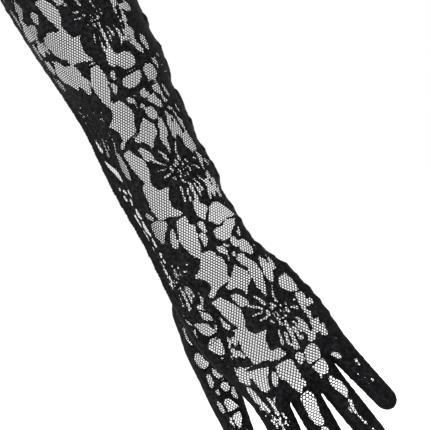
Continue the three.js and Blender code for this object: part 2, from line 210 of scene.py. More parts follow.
def sectionEdge(station, edge, right):
    # points of the sleeve at distances from the stitching, below 0 on the back
    section = sectionAt(station)
    depth = np.where(edge < 0, section["back"][..., None], section["palm"][..., None])
    angle = np.abs(edge) / depth
    return sectionPoint(section, np.where(edge < 0, -1, 1), np.pi - angle if right else angle)


def forkEdge(index, edge):
    turn = np.abs(edge) / forks["depth"]
    rise = forks["depth"] * (1 - np.cos(turn))
    acrossHand, downHand = forks["inwards"][index]
    return np.stack([forks["x"][index] + rise * acrossHand,
                     np.sign(edge) * forks["depth"] * np.sin(turn),
                     -(forks["down"][index] + rise * downHand)], axis=-1)


def fingerEdge(index, along, edge, right):
    angle = np.abs(edge) / fingerDepth(index, along)[..., None]
    return fingerPoint(index, along, np.where(edge < 0, -1, 1), np.pi - angle if right else angle)


def tipEdge(index, edge):
    finger = fingers[index]
    middle, forward, _, down, _ = fingerFrame(index, finger["length"])
    turn = np.abs(edge) / fingerShape["tip"]
    fall = fingerShape["tip"] * (1 - np.cos(turn))[..., None]
    deep = (np.sign(edge) * np.sin(turn) * finger["radii"][-1] * fingerShape["depth"])[..., None]
    return middle - forward * fall + down * deep


def webPoint(start, end, share):
    # between the knuckles and the forks the valleys drop late
    point = start + (end - start) * share
    point[..., 1] = start[..., 1] + (end[..., 1] - start[..., 1]) * share ** forks["webDip"]
    return point


# The panels are cut flat and worn: a cage holds the flat pattern and where each of its points
# lies when the glove is worn. u runs across the cloth and v down it.
cageShape = {
    "start": 7, "rows": 80, "columns": 32, "webRows": 4, "fingerStep": 3,
    "tipShares": (0.2, 0.4, 0.56, 0.7), "knuckleStretch": 0.87, "fingerStretch": 0.8,
}


class Cage:
    def __init__(self):
        self.flat, self.worn, self.faces, self.tips = [], [], [], []

    def add(self, flat, worn):
        # keeps a grid of points and gives their numbers
        start = len(self.flat)
        self.flat.extend(flat.reshape(-1, 2))
        self.worn.extend(worn.reshape(-1, 3))
        return np.arange(start, len(self.flat)).reshape(flat.shape[:-1])

    def grid(self, numbers):
        a, b, c, d = numbers[:-1, :-1], numbers[:-1, 1:], numbers[1:, 1:], numbers[1:, :-1]
        self.faces.extend(np.stack([a, d, c, b], axis=-1).reshape(-1, 4).tolist())


def betweenSeams(depth, shares):
    # angles round a section of this depth, from the seam on its left to the one on its right
    first = seamHalf / np.asarray(depth)[..., None]
    return first + (np.pi - 2 * first) * shares


def addFinger(cage, index, side, rootFlat, rootNumbers):
    # a finger below its root; gives the outline from one fork round its tip to the next
    shape, finger = cageShape, fingers[index]
    straight = finger["length"] - fingerShape["tip"]
    tips = [straight + share * fingerShape["tip"] for share in shape["tipShares"]]
    steps = round(straight / shape["fingerStep"])
    along = np.array([*np.linspace(0, straight, steps + 1)[1:], *tips])
    shares = np.linspace(0, 1, rootNumbers.shape[1])
    rows = fingerPoint(index, along, side, betweenSeams(fingerDepth(index, along), shares))
    arcs = arcLengths(rows)
    centre = (rootFlat[0] + rootFlat[-1]) / 2
    lean = math.radians(finger["lean"])
    settled = np.clip(along / fingerShape["baseBlend"], 0, 1)[:, None]
    offset = (arcs - arcs[:, -1:] / 2) * shape["fingerStretch"]
    offset = (rootFlat[:, 0] - centre[0]) * (1 - settled) + offset * settled
    rise = (rootFlat[:, 1] - centre[1]) * (1 - settled)
    u = centre[0] + along[:, None] * math.sin(lean) + offset * math.cos(lean)
    v = centre[1] + along[:, None] * math.cos(lean) - offset * math.sin(lean) * settled + rise
    numbers = cage.add(np.stack([u, v], axis=-1), rows)
    cage.grid(np.concatenate([rootNumbers, numbers]))
    tipFlat = centre + finger["length"] * np.array([math.sin(lean), math.cos(lean)])
    tip = cage.add(tipFlat[None], tipEdge(index, np.array([side * seamHalf])))[0]
    cage.tips.append(tipFlat)
    cage.faces.extend([a, tip, b] for a, b in zip(numbers[-1, :-1], numbers[-1, 1:]))
    return [*numbers[:, 0], tip, *numbers[::-1, -1], rootNumbers[0, -1]]


def panelCage(side):
    shape, cage = cageShape, Cage()
    stations = np.linspace(shape["start"], sleeve["knuckles"], shape["rows"] + 1)
    shares = np.linspace(0, 1, shape["columns"] + 1)
    section = sectionAt(stations)
    depth = section["back" if side < 0 else "palm"]
    angles = betweenSeams(depth, roundAngle(shares[None], stations[:, None]) / np.pi)
    worn = sectionPoint(section, side, angles)
    arcs = arcLengths(worn)
    middle = section["right"] - section["half"]
    centre = np.array([np.interp(np.pi / 2, a, s) for a, s in zip(angles, arcs)])
    tighten = 1 + (shape["knuckleStretch"] - 1) * towardsKnuckles(stations)
    u = middle[:, None] + (arcs - centre[:, None]) * tighten[:, None]
    flat = np.stack([u, -worn[..., 2]], axis=-1)

    count = len(fingers)
    perFinger = shape["columns"] // count
    edge, roots = np.array([side * seamHalf]), []
    for index in range(count):
        angles = betweenSeams(fingerDepth(index, 0.0), np.linspace(0, 1, perFinger + 1))
        roots += [forkEdge(index, edge), fingerPoint(index, 0.0, side, angles)[1:-1]]
    roots = np.concatenate(roots + [forkEdge(count, edge)])
    rootU = middle[-1] + (flat[-1, :, 0] - middle[-1]) / shape["knuckleStretch"]
    rootFlat = np.stack([rootU, -roots[:, 2]], axis=-1)
    webShares = np.arange(1, shape["webRows"] + 1) / shape["webRows"]
    webs = np.array([webPoint(worn[-1], roots, share) for share in webShares])
    webFlat = np.array([flat[-1] + (rootFlat - flat[-1]) * share for share in webShares])
    hand = cage.add(np.concatenate([flat, webFlat]), np.concatenate([worn, webs]))
    cage.grid(hand)

    outline = list(hand[:, 0])
    for index in range(count):
        span = slice(index * perFinger, (index + 1) * perFinger + 1)
        outline += addFinger(cage, index, side, rootFlat[span], hand[-1:, span])
    outline += [*hand[-2::-1, -1], *hand[0, -2:0:-1]]
    return cage, np.array(outline)


def outlines(rows):
    # each row holds the two numbers of its points in turn
    return [np.array(row, float).reshape(-1, 2) for row in rows]


def strokes(rows):
    # each row holds two numbers and a width for each of its points
    return [np.array(row, float).reshape(-1, 3) for row in rows]


# The floral repeat, charted from one daisy's middle: a is across the lace and b is down it,
# and the repeat is a half drop
repeat = {
    "width": 84, "height": 115, "drop": (-42, 57.5), "grain": math.radians(3.7),
    "across": range(-2, 4), "down": range(-2, 5),  # how often it is laid
    "start": (10, 75.5), "step": 0.8,
    "grow": 0.22,  # how much wider the windows are than they are charted, on each side
    "narrowest": 0.9, "strokeGrow": 0.1, "speckGrow": 1.35,
    "gap": (-21, 12),  # only the windows between these lie clear of the next column's daisies
    "chartedFrom": 62, "chartedElsewhere": (8, 9),
}
# where the worn cloth has crept from the plain repeat: (b, across, down, how wide)
drift = [
    (-60, 0, 0, 1), (0, 0, 0, 1), (60, -2.2, 0.4, 1), (115, -4, 0.5, 1.03), (170, -2.5, -1, 1.07),
    (228, -0.6, -2.6, 1), (290, 0, -3, 0.78), (345, 0, -3, 0.75),
]
# the open slits between and along a daisy's petals
daisySlits = strokes([
    [-7.4, -18.3, 0.9, -6.2, -15, 1.5, -5.6, -12, 1.8, -5.2, -9, 1.4],
    [-13.6, -14.2, 1.7, -11, -11.4, 1.4, -8.2, -7.9, 1.4], [-14.4, -7, 1.4, -11.4, -6.4, 1.5],
    [-10.6, -5.4, 1, -8.8, -5.8, 1], [-12.8, -1.6, 1.7, -9, -1.4, 1.7],
    [2.2, -10.8, 1.3, 2.8, -13, 0.8, 5.4, -17.6, 1], [11, -2.2, 1.5, 12, -1.8, 1.3],
    [6.8, 1.2, 1.2, 9.2, 2.4, 1.3, 10.3, 5, 1],
    [6, 8.6, 1, 8, 13, 1.6, 8.6, 17, 1.3, 8, 21.5, 2, 5.8, 26, 1.6],
    [2.8, 9.6, 1.2, 4, 13.4, 1.3, 4.3, 18.6, 1.3], [1.5, 12, 1, 1.7, 17.6, 1.4, 0.8, 22, 1],
    [-1.2, 9.5, 1.2, -1.4, 14, 1.8, -2, 19, 1.6, -3, 24, 2.6], [-7.2, 9.8, 1.3, -8, 13, 1.2, -9.7, 19, 1.2],
    [-4.4, 13, 1.2, -5.4, 16.6, 1, -6.4, 21, 1.3], [-6.3, -5.2, 1.5, -6.3, -1.8, 1.7],
    [-7.6, 1.6, 1.1, -6.9, 4.2, 1.1], [4.9, -5.5, 1.1, 5.5, -2.2, 1.1], [4.2, -0.6, 0.9, 4.3, 3.3, 1],
    [1.8, -8.4, 1.5, 1.8, -6, 1.3], [-1.5, -8, 1, -2, -6.4, 1], [-3.3, -5.8, 1, -2.9, -3, 1],
    [-0.8, -6, 0.9, -1, -3.8, 0.9], [2.2, -4, 1, 1.9, -2, 1], [-4.2, -1.8, 0.9, -4, 1, 0.9],
    [-2.3, -1.6, 0.9, -2.2, 2.2, 1], [-4, 2.6, 0.9, -3.5, 4, 0.9], [0.4, -1.8, 0.9, 0.6, 1.2, 1],
    [2.3, 0, 0.8, 2.4, 1.6, 0.8], [1.1, 3, 1, 1.5, 5, 1], [-1.5, 4.2, 0.9, 0, 4.8, 0.9],
    [-4.3, 5.8, 1.1, -3.6, 7.8, 1.3, -2.6, 8.8, 1], [-0.6, 6.4, 0.9, -0.7, 8, 1],
])
# the ground between the daisies is closely woven, with these windows of plain net
windows = outlines([
    [-24, -5, -22.5, -3, -21.5, 1, -20.5, 4.6, -14, 5, -13.2, 6, -16, 8.5, -17.5, 10.5, -17.8, 14, -18.5,
     18, -17.5, 20.5, -15.3, 22.5, -15.2, 25.5, -18, 25.5, -21, 23.5, -25, 22, -30.5, 21.5, -31, 18, -32,
     13, -31, 7, -30.5, 2, -30, -3.5, -26.5, -4.8],
    [-31.5, 87, -29.5, 86, -25, 85.8, -23.5, 89, -21.5, 92.5, -20, 96, -18.8, 100, -19.3, 104, -20.2, 107.5,
     -22, 110.5, -24, 112, -26, 110, -27.5, 105, -28.5, 101.5, -29.5, 97, -30, 92],
    [-41, 21, -38, 19.5, -34, 20.5, -30, 23, -27.5, 25, -28, 27, -32, 29, -34.5, 32, -36, 36, -38.5, 36,
     -41, 30],
    [-26, 30.5, -25.5, 32, -26.8, 36, -27.5, 40, -28, 43, -31, 43.5, -32.8, 41, -32, 37, -30, 33.5, -28,
     31],
    [-21.5, 28, -20.5, 27, -15.5, 27, -14.7, 30, -15, 34, -13, 35.5, -13.8, 38.5, -14.5, 41, -14, 42.2,
     -15.6, 44, -16.3, 47.5, -17.3, 50, -17.6, 52, -19.5, 53.5, -19.8, 56, -22, 57, -24, 54.5, -25, 51.5,
     -25, 48, -26, 45, -26.3, 40, -25, 36, -24, 33, -22.5, 30.5],
    [-13.8, 43, -12, 42.7, -11, 45, -11, 48, -12.3, 50.5, -14, 52.3, -15.3, 52.3, -14.3, 49.5, -14.3, 46],
    [-11, 36, -8.5, 35.5, -7.5, 37, -8, 39.5, -7.8, 42, -9.5, 44.5, -10.5, 42, -11.5, 38.5],
    [-5.5, 22, -3, 22, -2.6, 25, -1, 27.5, 0.5, 29.5, -0.5, 32, -2.5, 33, -4, 35.5, -6, 36, -7.5, 33.5,
     -8.2, 29, -7.5, 26, -6.2, 24],
    [2.2, 30.2, 8, 30, 10, 33.5, 12.5, 36.5, 14.5, 40.5, 17, 43.5, 16, 44.8, 12, 44, 9, 43.2, 4, 43.1, 2.5,
     44.3, 1, 44.6, -1.6, 43, -1.7, 40.5, -3.9, 39.5, -3.5, 37.5, -1.2, 35.3, 0.5, 32.5],
    [-5, 46, -2, 45, 0.5, 46, 2.5, 46, 4, 44.6, 8, 44.8, 12, 45.8, 14, 46.4, 12, 48.5, 9.5, 50, 6, 52, 4.2,
     53, 3.7, 54.8, 0, 55.3, -3.5, 54.8, -5, 52.5, -6.2, 50.5, -5.5, 48],
    [-19.5, 54.5, -14, 54.8, -12.2, 58, -12, 61, -10.5, 63, -10, 66, -10.3, 70, -12, 72.5, -13.5, 75, -13.3,
     78, -15, 79.6, -18, 80, -22, 80.5, -25, 81.5, -26.8, 83.5, -28.5, 84.5, -30.3, 82.5, -30, 80.8, -26.5,
     78.8, -25.4, 77, -25.5, 73, -26.5, 70.5, -28.5, 68.8, -31.5, 66, -27, 64.6, -24.5, 62.8, -23.5, 60.5,
     -21.5, 58, -20, 56],
    [-9.8, 56.3, -7.8, 55.8, -5.5, 58.5, -5, 61, -4.8, 64, -6, 64, -7, 62.3, -9.3, 61, -9.5, 58.5],
    [-4.8, 56.2, -3, 57.5, -1.6, 59.8, -2.5, 60.2, -4, 58.8],
    [0.5, 57.5, 2, 56.2, 4.8, 56.3, 4.2, 59, 6.5, 61.2, 5, 62.5, 3, 63.7, 1.2, 62.5, 0.5, 60],
    [3.5, 64.5, 6, 63.4, 8.5, 61.5, 9.5, 64, 10, 68, 9.5, 71, 8, 73, 7, 72.7, 6, 70, 3.8, 68, 2.5, 66],
    [-3, 64.5, -1.8, 64, -1, 66, -2, 68, -3.6, 67.7, -4, 66.3],
    [-3, 69.5, -1, 68.3, 1.5, 68, 3.3, 70, 2.7, 72, 4.5, 75, 3.5, 77.3, 0.5, 79, -0.7, 77.3, -2, 74.5, -2.5,
     72],
    [-5.5, 72, -4.8, 75, -3.5, 78.5, -1.5, 80, -2, 83.5, -2.2, 86.5, -4.5, 88, -7.5, 90, -9, 93, -10.5, 94,
     -11, 92.7, -10.2, 90.5, -12, 88, -14.5, 86, -18, 85, -18.3, 81.5, -14.5, 80.7, -11.5, 78.3, -9.3, 75.5,
     -7, 74],
    [0.5, 82, 2, 80.3, 4.5, 78, 4.8, 81, 4.4, 85, 4.8, 88, 3, 91.5, 0.8, 94, 0.3, 98, -1, 101.5, -1.8,
     102.5, -1.5, 98.5, -2, 95.5, -2.7, 92, -2.3, 88, -0.3, 86],
    [10, 76.2, 11, 77.5, 10.3, 81.5, 10.8, 85, 10.8, 88, 9.6, 91, 9, 94.5, 6.6, 96.5, 6.2, 93, 6.5, 89, 7,
     84, 8.8, 79.5],
    [-19.5, 88.5, -16.5, 88.5, -14.5, 91, -12.5, 95.5, -12.5, 99.5, -16.5, 100, -18, 97, -18.8, 93],
    [11.5, 97.5, 13.5, 95.5, 16.5, 95, 18, 93, 18.6, 97, 18.8, 102, 18.4, 107, 17, 109.5, 13.5, 108, 11.5,
     105.5, 10.3, 102.5], [9.5, 55, 10.5, 52.5, 12, 52, 12, 54.5, 10.3, 56.5],
    [15.5, -5.5, 18.5, -4, 19, 0, 17, 2.5, 15, 3.5, 14.5, 8, 13.3, 8.5, 13.2, 4.5, 14.4, 1, 15, -3],
    [12.5, 10, 15.5, 9.5, 15, 13, 13.5, 15, 12.2, 13.5], [18.5, 2, 21, 1.5, 21.5, 5, 20, 8, 18.5, 6],
    [14.5, 16, 17, 15.5, 18.3, 18, 16.5, 21, 14, 21.5, 13, 19.5],
    [16.5, 22, 18.5, 20, 19.5, 22.5, 17, 27, 16, 30, 13.5, 29.5, 14.5, 26, 16, 24],
    [9.5, 22, 12, 22, 12.3, 25, 11, 26.5, 9.8, 25],
])
# thin openings in the ground
cracks = strokes([
    [-6, 65, 0.9, -7.2, 68, 1], [11.5, 81, 1.3, 13, 85, 1.5, 13, 89, 1.2], [12.3, 15.5, 1.2, 11.7, 21.5, 1],
    [14, 34, 1, 17, 38, 1.3], [15, 56, 1.2, 15.5, 62, 1.4], [14.5, 66, 1.2, 14, 72, 1],
    [16, 78, 1.2, 16.5, 86, 1.6],
])
# windows between the columns of daisies, where they aren't charted below
gapWindows = outlines([
    [24, -6, 29, -8, 33, -2, 32, 6, 34, 12, 30, 16, 26, 12, 25, 4],
    [24, 18, 28, 19, 31, 24, 30, 31, 26, 34, 23, 29], [35, -5, 39, -8, 43, -3, 42, 8, 38, 12, 35.5, 4],
    [34, 19, 40, 16, 44, 20, 43, 28, 38, 33, 33.5, 29], [25, 38, 30, 36, 33, 40, 30, 46, 25, 46],
    [23, 50, 27, 49, 30, 53, 28, 60, 24, 62, 22, 56], [22, 66, 26, 64, 29, 69, 28, 77, 24, 80, 21, 74],
    [22, 84, 27, 82, 30, 87, 29, 95, 25, 99, 21.5, 92], [32, 88, 36, 91, 36, 98, 33, 102, 31, 96],
    [24, 102, 28, 101, 31, 105, 29, 109, 25, 108], [44, 92, 48, 90, 51, 96, 48, 103, 44, 101],
    [36, 103, 41, 99, 43, 104, 40, 110, 36, 109],
])
# windows charted where they lie on the cloth (u, v), down the sleeve and the wrist
sideWindows = outlines([
    [-28, 71.5, -23, 70.5, -19, 72, -18, 80, -18, 93, -21, 94.5, -24.5, 92, -28.5, 87, -29, 80],
    [-25, 162, -21.5, 162, -20.3, 170, -20.7, 178, -23, 184, -25, 178, -25.8, 169],
    [-27, 205, -23, 206, -20, 210, -22, 212, -26, 210],
    [-22, 213, -16, 214, -12, 218, -17, 222, -20, 226, -23, 222, -24, 217],
    [-48, 62, -40, 60, -31, 62, -31, 69, -34, 71, -38, 73, -44, 72, -48, 70],
    [-41, 75.5, -36, 73.5, -33.6, 77, -34.3, 83, -37, 86, -40.5, 84],
    [-47, 75, -42.3, 74, -41.5, 79, -42, 84, -44, 87.5, -47, 84],
    [-47, 90, -44, 90, -44.3, 98, -42, 101.5, -38.6, 103, -37.5, 108, -40, 112, -44, 108, -47, 100],
    [-31, 72, -27.5, 72, -28.5, 78, -29.5, 83, -30.7, 80],
    [-32.8, 76, -31.6, 80, -31, 86, -32.5, 86, -33.5, 81],
    [-42, 87, -37.5, 88, -36.5, 94, -37.5, 99, -40.5, 98, -43, 93],
    [-34, 90, -30, 92, -26, 96, -20, 96, -18, 99, -22, 101, -25, 104, -27, 108, -28, 111, -30, 110, -33,
     107, -36, 103, -36.5, 98, -35, 94],
    [-23, 104.5, -20, 103, -17, 104, -17, 108, -18, 112, -20, 116, -23, 114, -23, 109],
    [29, 76, 34, 76, 37, 79, 38, 82, 36, 85, 32, 83, 29, 80],
    [27, 82, 29, 80.5, 30, 86, 29, 90, 26, 90, 26, 86],
    [24, 92, 28, 90.8, 30, 94, 31, 98, 27, 99, 24, 99, 23, 96],
    [18.5, 95, 20, 94, 22, 98, 20, 101.5, 18, 99],
    [22.5, 100.5, 26, 101, 29, 104, 30, 110, 28, 114, 26, 110, 24, 106],
    [31.5, 101, 35, 101, 37, 105, 35, 112, 33, 113, 31.5, 108],
    [22.5, 119.5, 26, 118, 31, 121, 31, 128, 28, 131, 25, 132, 22, 129, 21.5, 124],
    [7, 106, 9, 104.5, 14, 104, 18, 105, 20, 108, 20.5, 113, 19, 117, 13, 118, 10, 116, 8, 112],
    [5, 121, 8, 119.5, 13, 119.7, 19, 119.5, 20, 122, 18, 126, 15, 129, 11, 130, 7, 129, 5, 125],
    [22, 132, 26, 133.5, 27, 137, 28, 141, 25, 142, 22, 138], [20, 142, 23, 144, 22, 150, 19, 148],
    [24.5, 143.5, 27, 142.5, 29, 146, 27, 148, 25, 147], [25, 149.5, 29, 151, 29, 154, 26, 153],
    [20, 155.5, 25, 155.5, 26, 158, 22, 158.5],
    [20, 161, 24, 160, 27, 164, 27, 170, 25, 174, 22, 170, 20, 166],
    [28.5, 158, 31, 160, 32, 165, 30, 170, 28.5, 166], [27, 178, 30, 176, 30, 181, 27, 185, 25.5, 183],
    [32, 116, 35.5, 118, 36.5, 123, 34.5, 127, 32.5, 123], [30, 134, 33, 137, 33.5, 143, 31, 146, 30, 140],
    [33, 150, 35, 153, 34, 158, 32, 155], [31.5, 174, 34, 178, 33, 184, 31, 181],
    [24, 203, 26, 203, 28, 208, 28, 214, 26, 217.5, 24.5, 211],
    [28, 199, 30.5, 203, 31.5, 210, 30.5, 217, 29, 211], [33.5, 232, 36, 233.5, 36, 238, 34.5, 239],
    [20, 246, 24, 247, 23, 250, 20, 249], [23, 252, 27, 248.5, 30, 250, 32, 255, 31, 260, 28, 261, 25, 258],
    [26.5, 242.5, 29, 243, 29, 247, 27, 247],
    [21, 262, 25, 263, 27, 267, 27, 275, 25, 281, 23, 286, 21, 281, 20, 275, 20, 268],
])
# and down to the knuckles, as worn (x, station)
handWindows = outlines([
    [-14.7, 286.5, -12.5, 285.3, -10.3, 289, -8.7, 293, -7.7, 297, -9.5, 297.7, -12, 293.5, -14, 290],
    [-17, 290.3, -15, 289.5, -13.3, 294, -11.8, 298, -14, 298.5, -16, 295],
    [-11.5, 303, -9, 302, -7.5, 305.5, -8.5, 309, -11, 308],
    [-14.5, 309, -12.5, 309, -12, 313, -13.5, 317, -15, 313], [-7.5, 299, -5.5, 298.5, -4.5, 301, -6, 302],
    [-23, 311, -20.8, 311, -21, 316, -23, 317], [-20, 319, -17.5, 320, -17, 325, -18.5, 326, -20.5, 323],
    [-34, 275, -31, 273, -30, 277, -29, 281, -26, 284, -24, 285.3, -27, 285.3, -32, 281.5, -34.5, 279],
    [-31, 287, -27, 285, -23, 285, -20, 287, -19, 290, -17, 293, -17, 297, -20, 298.5, -24, 299, -27, 300.5,
     -29, 297, -30.5, 292],
    [-27, 301.5, -23, 300.5, -19, 299, -15, 299, -12, 301.5, -12, 304, -13, 307, -17, 309, -21, 309.5, -24,
     307, -26, 304], [-20.5, 274, -19, 273, -17, 278, -15, 283, -14, 285.5, -16, 286.5, -19, 285, -21, 282],
    [-19.5, 311.5, -16, 311.5, -15, 314, -18, 317, -20, 318],
    [-15.5, 320, -12.5, 324, -12.5, 329, -14, 331, -16, 328],
    [-11, 311, -9, 315, -7, 318, -9, 318, -12, 315],
    [29, 265, 31, 263.5, 33, 268, 34, 274, 33, 280, 30, 283, 28.2, 279, 28.5, 272],
    [34.5, 267, 36, 270, 37, 276, 35.3, 276, 34, 271],
    [34, 283, 38, 281, 41, 285, 42, 290, 41, 294, 38, 294, 35, 291, 33.5, 287],
    [40, 295.3, 42, 297, 42, 303, 41, 309, 39.3, 311, 39, 303, 39.3, 299],
    [43.3, 303, 45, 302, 46, 306, 44, 309, 42.8, 307],
    [40, 317, 43, 316, 44, 320, 43, 326, 41, 330, 40, 325],
    [33.5, 311, 35, 314, 36, 320, 35, 325, 33.5, 321, 32.5, 316],
])
# see-through specks in the gathers, as worn
specks = strokes([
    [-29.3, 147, 1.2, -29, 151, 2.6, -28, 156, 1.6], [-32, 152, 1, -31.6, 155, 1],
    [-29.5, 163, 1.2, -28, 168, 2.2, -26.3, 173, 3, -25.5, 179, 1.4], [-30.5, 168, 1, -30, 171, 1],
    [-29.3, 183, 1, -29.3, 184, 1.2], [-27.3, 186, 1.8, -26.9, 188, 1.2], [-24.9, 187, 1.2, -24.7, 191, 1],
    [-29, 189, 1.1, -28.7, 192, 1.2], [-26.3, 193, 1.4, -26.8, 196, 1], [-29.9, 195, 1, -29.7, 198, 1],
    [-26.1, 200, 1.2, -26.3, 204, 1.9, -25.9, 207, 1.2], [-28.6, 203, 1.2, -28.9, 208, 2, -28.4, 211, 1.2],
    [-26.2, 209.5, 1.4, -26.4, 214, 2, -25.7, 219, 1.4],
    [-28.9, 214, 1.3, -28.5, 219, 1.9, -28.9, 223, 1.3], [-25.7, 222, 1, -25.9, 227, 1.5],
    [-28.5, 227, 1.5, -28.8, 230, 1.2], [-25.6, 233, 1.7, -26, 234.5, 1.4],
    [-25.7, 237.5, 1.2, -25.8, 239, 1.3], [-33.2, 234.5, 1.6, -32.9, 238.5, 1.1],
    [-30.6, 240, 1, -30.1, 243, 1.1], [-28.1, 243, 1.2, -27.8, 246, 1.2], [-27.5, 249, 1.3, -27.8, 252, 1],
    [-28.7, 253, 1.2, -28.9, 257, 1.1], [-32.1, 260, 1.3, -34, 262.5, 1.4, -34.7, 264.5, 1],
    [-32.6, 213, 1, -32.5, 216, 1], [-33, 175, 1, -33.2, 178, 1], [-33.1, 190, 1, -33.3, 193, 1],
    [-31.9, 223, 1.2, -32.4, 226, 1], [34, 130, 1, 34.4, 134, 1.1], [32, 165, 1, 32.3, 169, 1.1],
    [31, 190, 1, 30.6, 194, 1.2], [30.5, 205, 1, 31, 209, 1], [33, 253, 1, 34, 257, 1],
])
# the palm's cloth is plain net behind the loose fold on the left, as worn
palmNet = outlines([
    [-32, 146, -24, 146, -22, 165, -21.5, 190, -21.5, 232, -23.5, 250, -27, 262, -32, 264],
])
# over the knuckles and fingers, as worn: there the plain repeat ends
fingerFrom = 325
fingerWindows = outlines([
    [-19, 323, -16, 322, -13.5, 325, -12.3, 330, -12.8, 334, -14, 336, -16.5, 334, -18.5, 330],
    [-14, 326, -12, 326.5, -8, 328, -3, 329, 2, 330.3, 2.5, 331.5, 1, 333, -1.5, 335.5, -3, 339, -4, 343,
     -5.5, 344.5, -8.5, 343.5, -9.5, 339, -10.5, 334, -12.3, 330],
    [0.5, 337, 2.5, 334.5, 4.3, 335, 4.3, 339, 3, 343, 0, 344, -0.5, 340],
    [-7, 322, 13, 322, 15, 325, 16.5, 328, 15, 329.5, 10, 329.5, 5, 328, 1, 325.7, -4, 324.7],
    [6.5, 332, 11, 331.3, 17, 332, 18, 336, 17.5, 340, 18.3, 343, 16.8, 346, 16, 350, 15, 354, 13, 355.5,
     11.5, 353, 9, 347, 8, 343, 5.5, 341, 5.7, 336], [17.3, 347, 18.7, 348, 18.6, 352, 17.3, 353],
    [10.8, 357, 15, 356.7, 19, 356, 19.8, 360, 19.3, 366, 18, 373, 17.5, 379, 15, 380, 11.5, 379, 10.5, 372,
     10.5, 364], [21, 331, 24, 330.5, 26, 333, 25, 337, 22, 339.5, 20.5, 336],
    [27, 334, 30, 330, 34, 330, 36.5, 332, 36.5, 337, 35, 340.5, 30, 340.5, 26.5, 341.5, 26, 338],
    [26.5, 344, 31, 342, 35.5, 342, 37, 345, 35.5, 349, 34, 351, 31, 351, 29, 348],
    [33, 354, 36, 354.5, 37, 358, 40, 361, 41.5, 365, 41, 368, 39, 370, 36, 368, 33.5, 363, 32.5, 359],
    [37, 375, 39, 373, 40, 376, 38.7, 381, 40, 386, 42, 391, 42.5, 393, 40.5, 393, 38.5, 387, 37, 381],
    [23, 324, 26, 323, 27, 327, 25, 329.5, 22.5, 328.5], [29, 322, 32, 322, 31, 325, 29.5, 326],
    [33, 327, 36, 324, 38, 322, 40, 322, 39, 326, 37, 329, 34, 329],
    [42, 322, 46, 322, 46.5, 328, 45.5, 331, 43.5, 329.5, 42.5, 326],
    [49.3, 334, 51.3, 336, 51, 338.5, 49.3, 337.5],
    [41.5, 342, 44, 341.5, 46.5, 343.5, 47, 347, 45, 349, 42.5, 347.5, 41.3, 344.5],
    [54.5, 352, 56, 353, 56.5, 358, 55.2, 359, 54, 355],
    [13.5, 381.5, 15, 381, 17, 383, 17.5, 387, 15.5, 387, 14, 384],
    [-17.5, 334.5, -15, 336.5, -13.7, 341, -12.7, 347, -11, 352, -10.5, 357, -12.3, 357, -14.7, 350, -16.5,
     346, -17.5, 340], [-9, 348, -7.5, 346.7, -6.5, 351, -6, 358, -7.3, 359, -8.3, 354],
    [12, 391, 15, 390, 17, 394, 16.5, 400, 14, 404, 12.5, 398],
    [18.5, 392, 19.8, 396, 19.3, 402, 18.2, 398],
    [-12, 384, -9, 383, -7.5, 387, -8, 393, -10.5, 396, -12.5, 390],
    [-6, 386, -4.3, 390, -5, 396, -6.5, 393],
])
fingerCracks = strokes([
    [54, 366, 1, 55, 371, 1.2], [57, 366, 1, 57.5, 370, 1.3, 58, 373, 1], [51, 361, 1, 51.5, 366, 1.1],
    [35.5, 376, 1.1, 36, 382, 1.3], [43.5, 398, 1, 44.5, 402, 1.2], [7.5, 362, 0.9, 7.7, 369, 1.1],
    [36.5, 366.5, 1, 38, 371, 1.2], [31, 345.5, 1, 29, 352, 1.1],
])
fingerDaisy = (-9, 367)
# the thumb's windows, on its cloth
thumbWindows = outlines([
    [-5, 70, -2, 69, 0.5, 72, 0, 76, -3, 77.5, -5.5, 75],
    [-8.5, 74, -6.7, 74, -5, 79, -5.5, 82, -7.7, 84, -9.3, 82],
    [-2.5, 81, 0.5, 80.3, 2.3, 84, 1.5, 88, 2, 90, -2, 89.3, -6.3, 88.9, -6.3, 88, -4.5, 85],
    [-6.3, 91.3, -2, 91.6, 0, 92, 0.6, 96, 0, 100, -1.5, 103, -4.7, 98],
    [1.5, 92.5, 2.7, 93, 3.6, 97, 1.8, 101.5, 1.6, 97], [5, 80, 7.5, 81, 7, 86, 4.7, 90, 3.7, 86],
    [2.3, 72, 5, 73, 4.3, 78, 2.3, 77], [-9.5, 64, -7, 65, -6.5, 71, -8.7, 72],
    [4, 61, 7.5, 62, 8, 70, 5.5, 72, 3.5, 67], [-5, 60, 0, 57, 2.5, 60, 1.5, 66, -2, 67.5, -5.5, 66],
    [-12, 2, 12, 2, 13, 18, 9, 24, 0, 20, -9, 25, -13, 18],
    [-12, 28, -1, 23, 3, 25, 2, 33, -3, 40, -9, 39, -13, 36],
    [5, 27, 12, 23, 13, 36, 10, 42, 4, 40, 3.5, 33], [-12, 42, -5, 42.5, -1, 46, -1.5, 54, -6, 58, -12, 55],
    [2, 44, 9, 45, 12, 50, 9, 58, 4, 58, 1.5, 54], [-2.5, 106, 1, 105.5, 2.5, 110, 0.5, 114, -2, 112],
    [-6, 103, -4.8, 106, -5, 111, -6.4, 108], [4.3, 104, 5.3, 107, 4.7, 111, 3.5, 108],
])

whole = 9.0  # so deep in the woven cloth that nothing shows of it


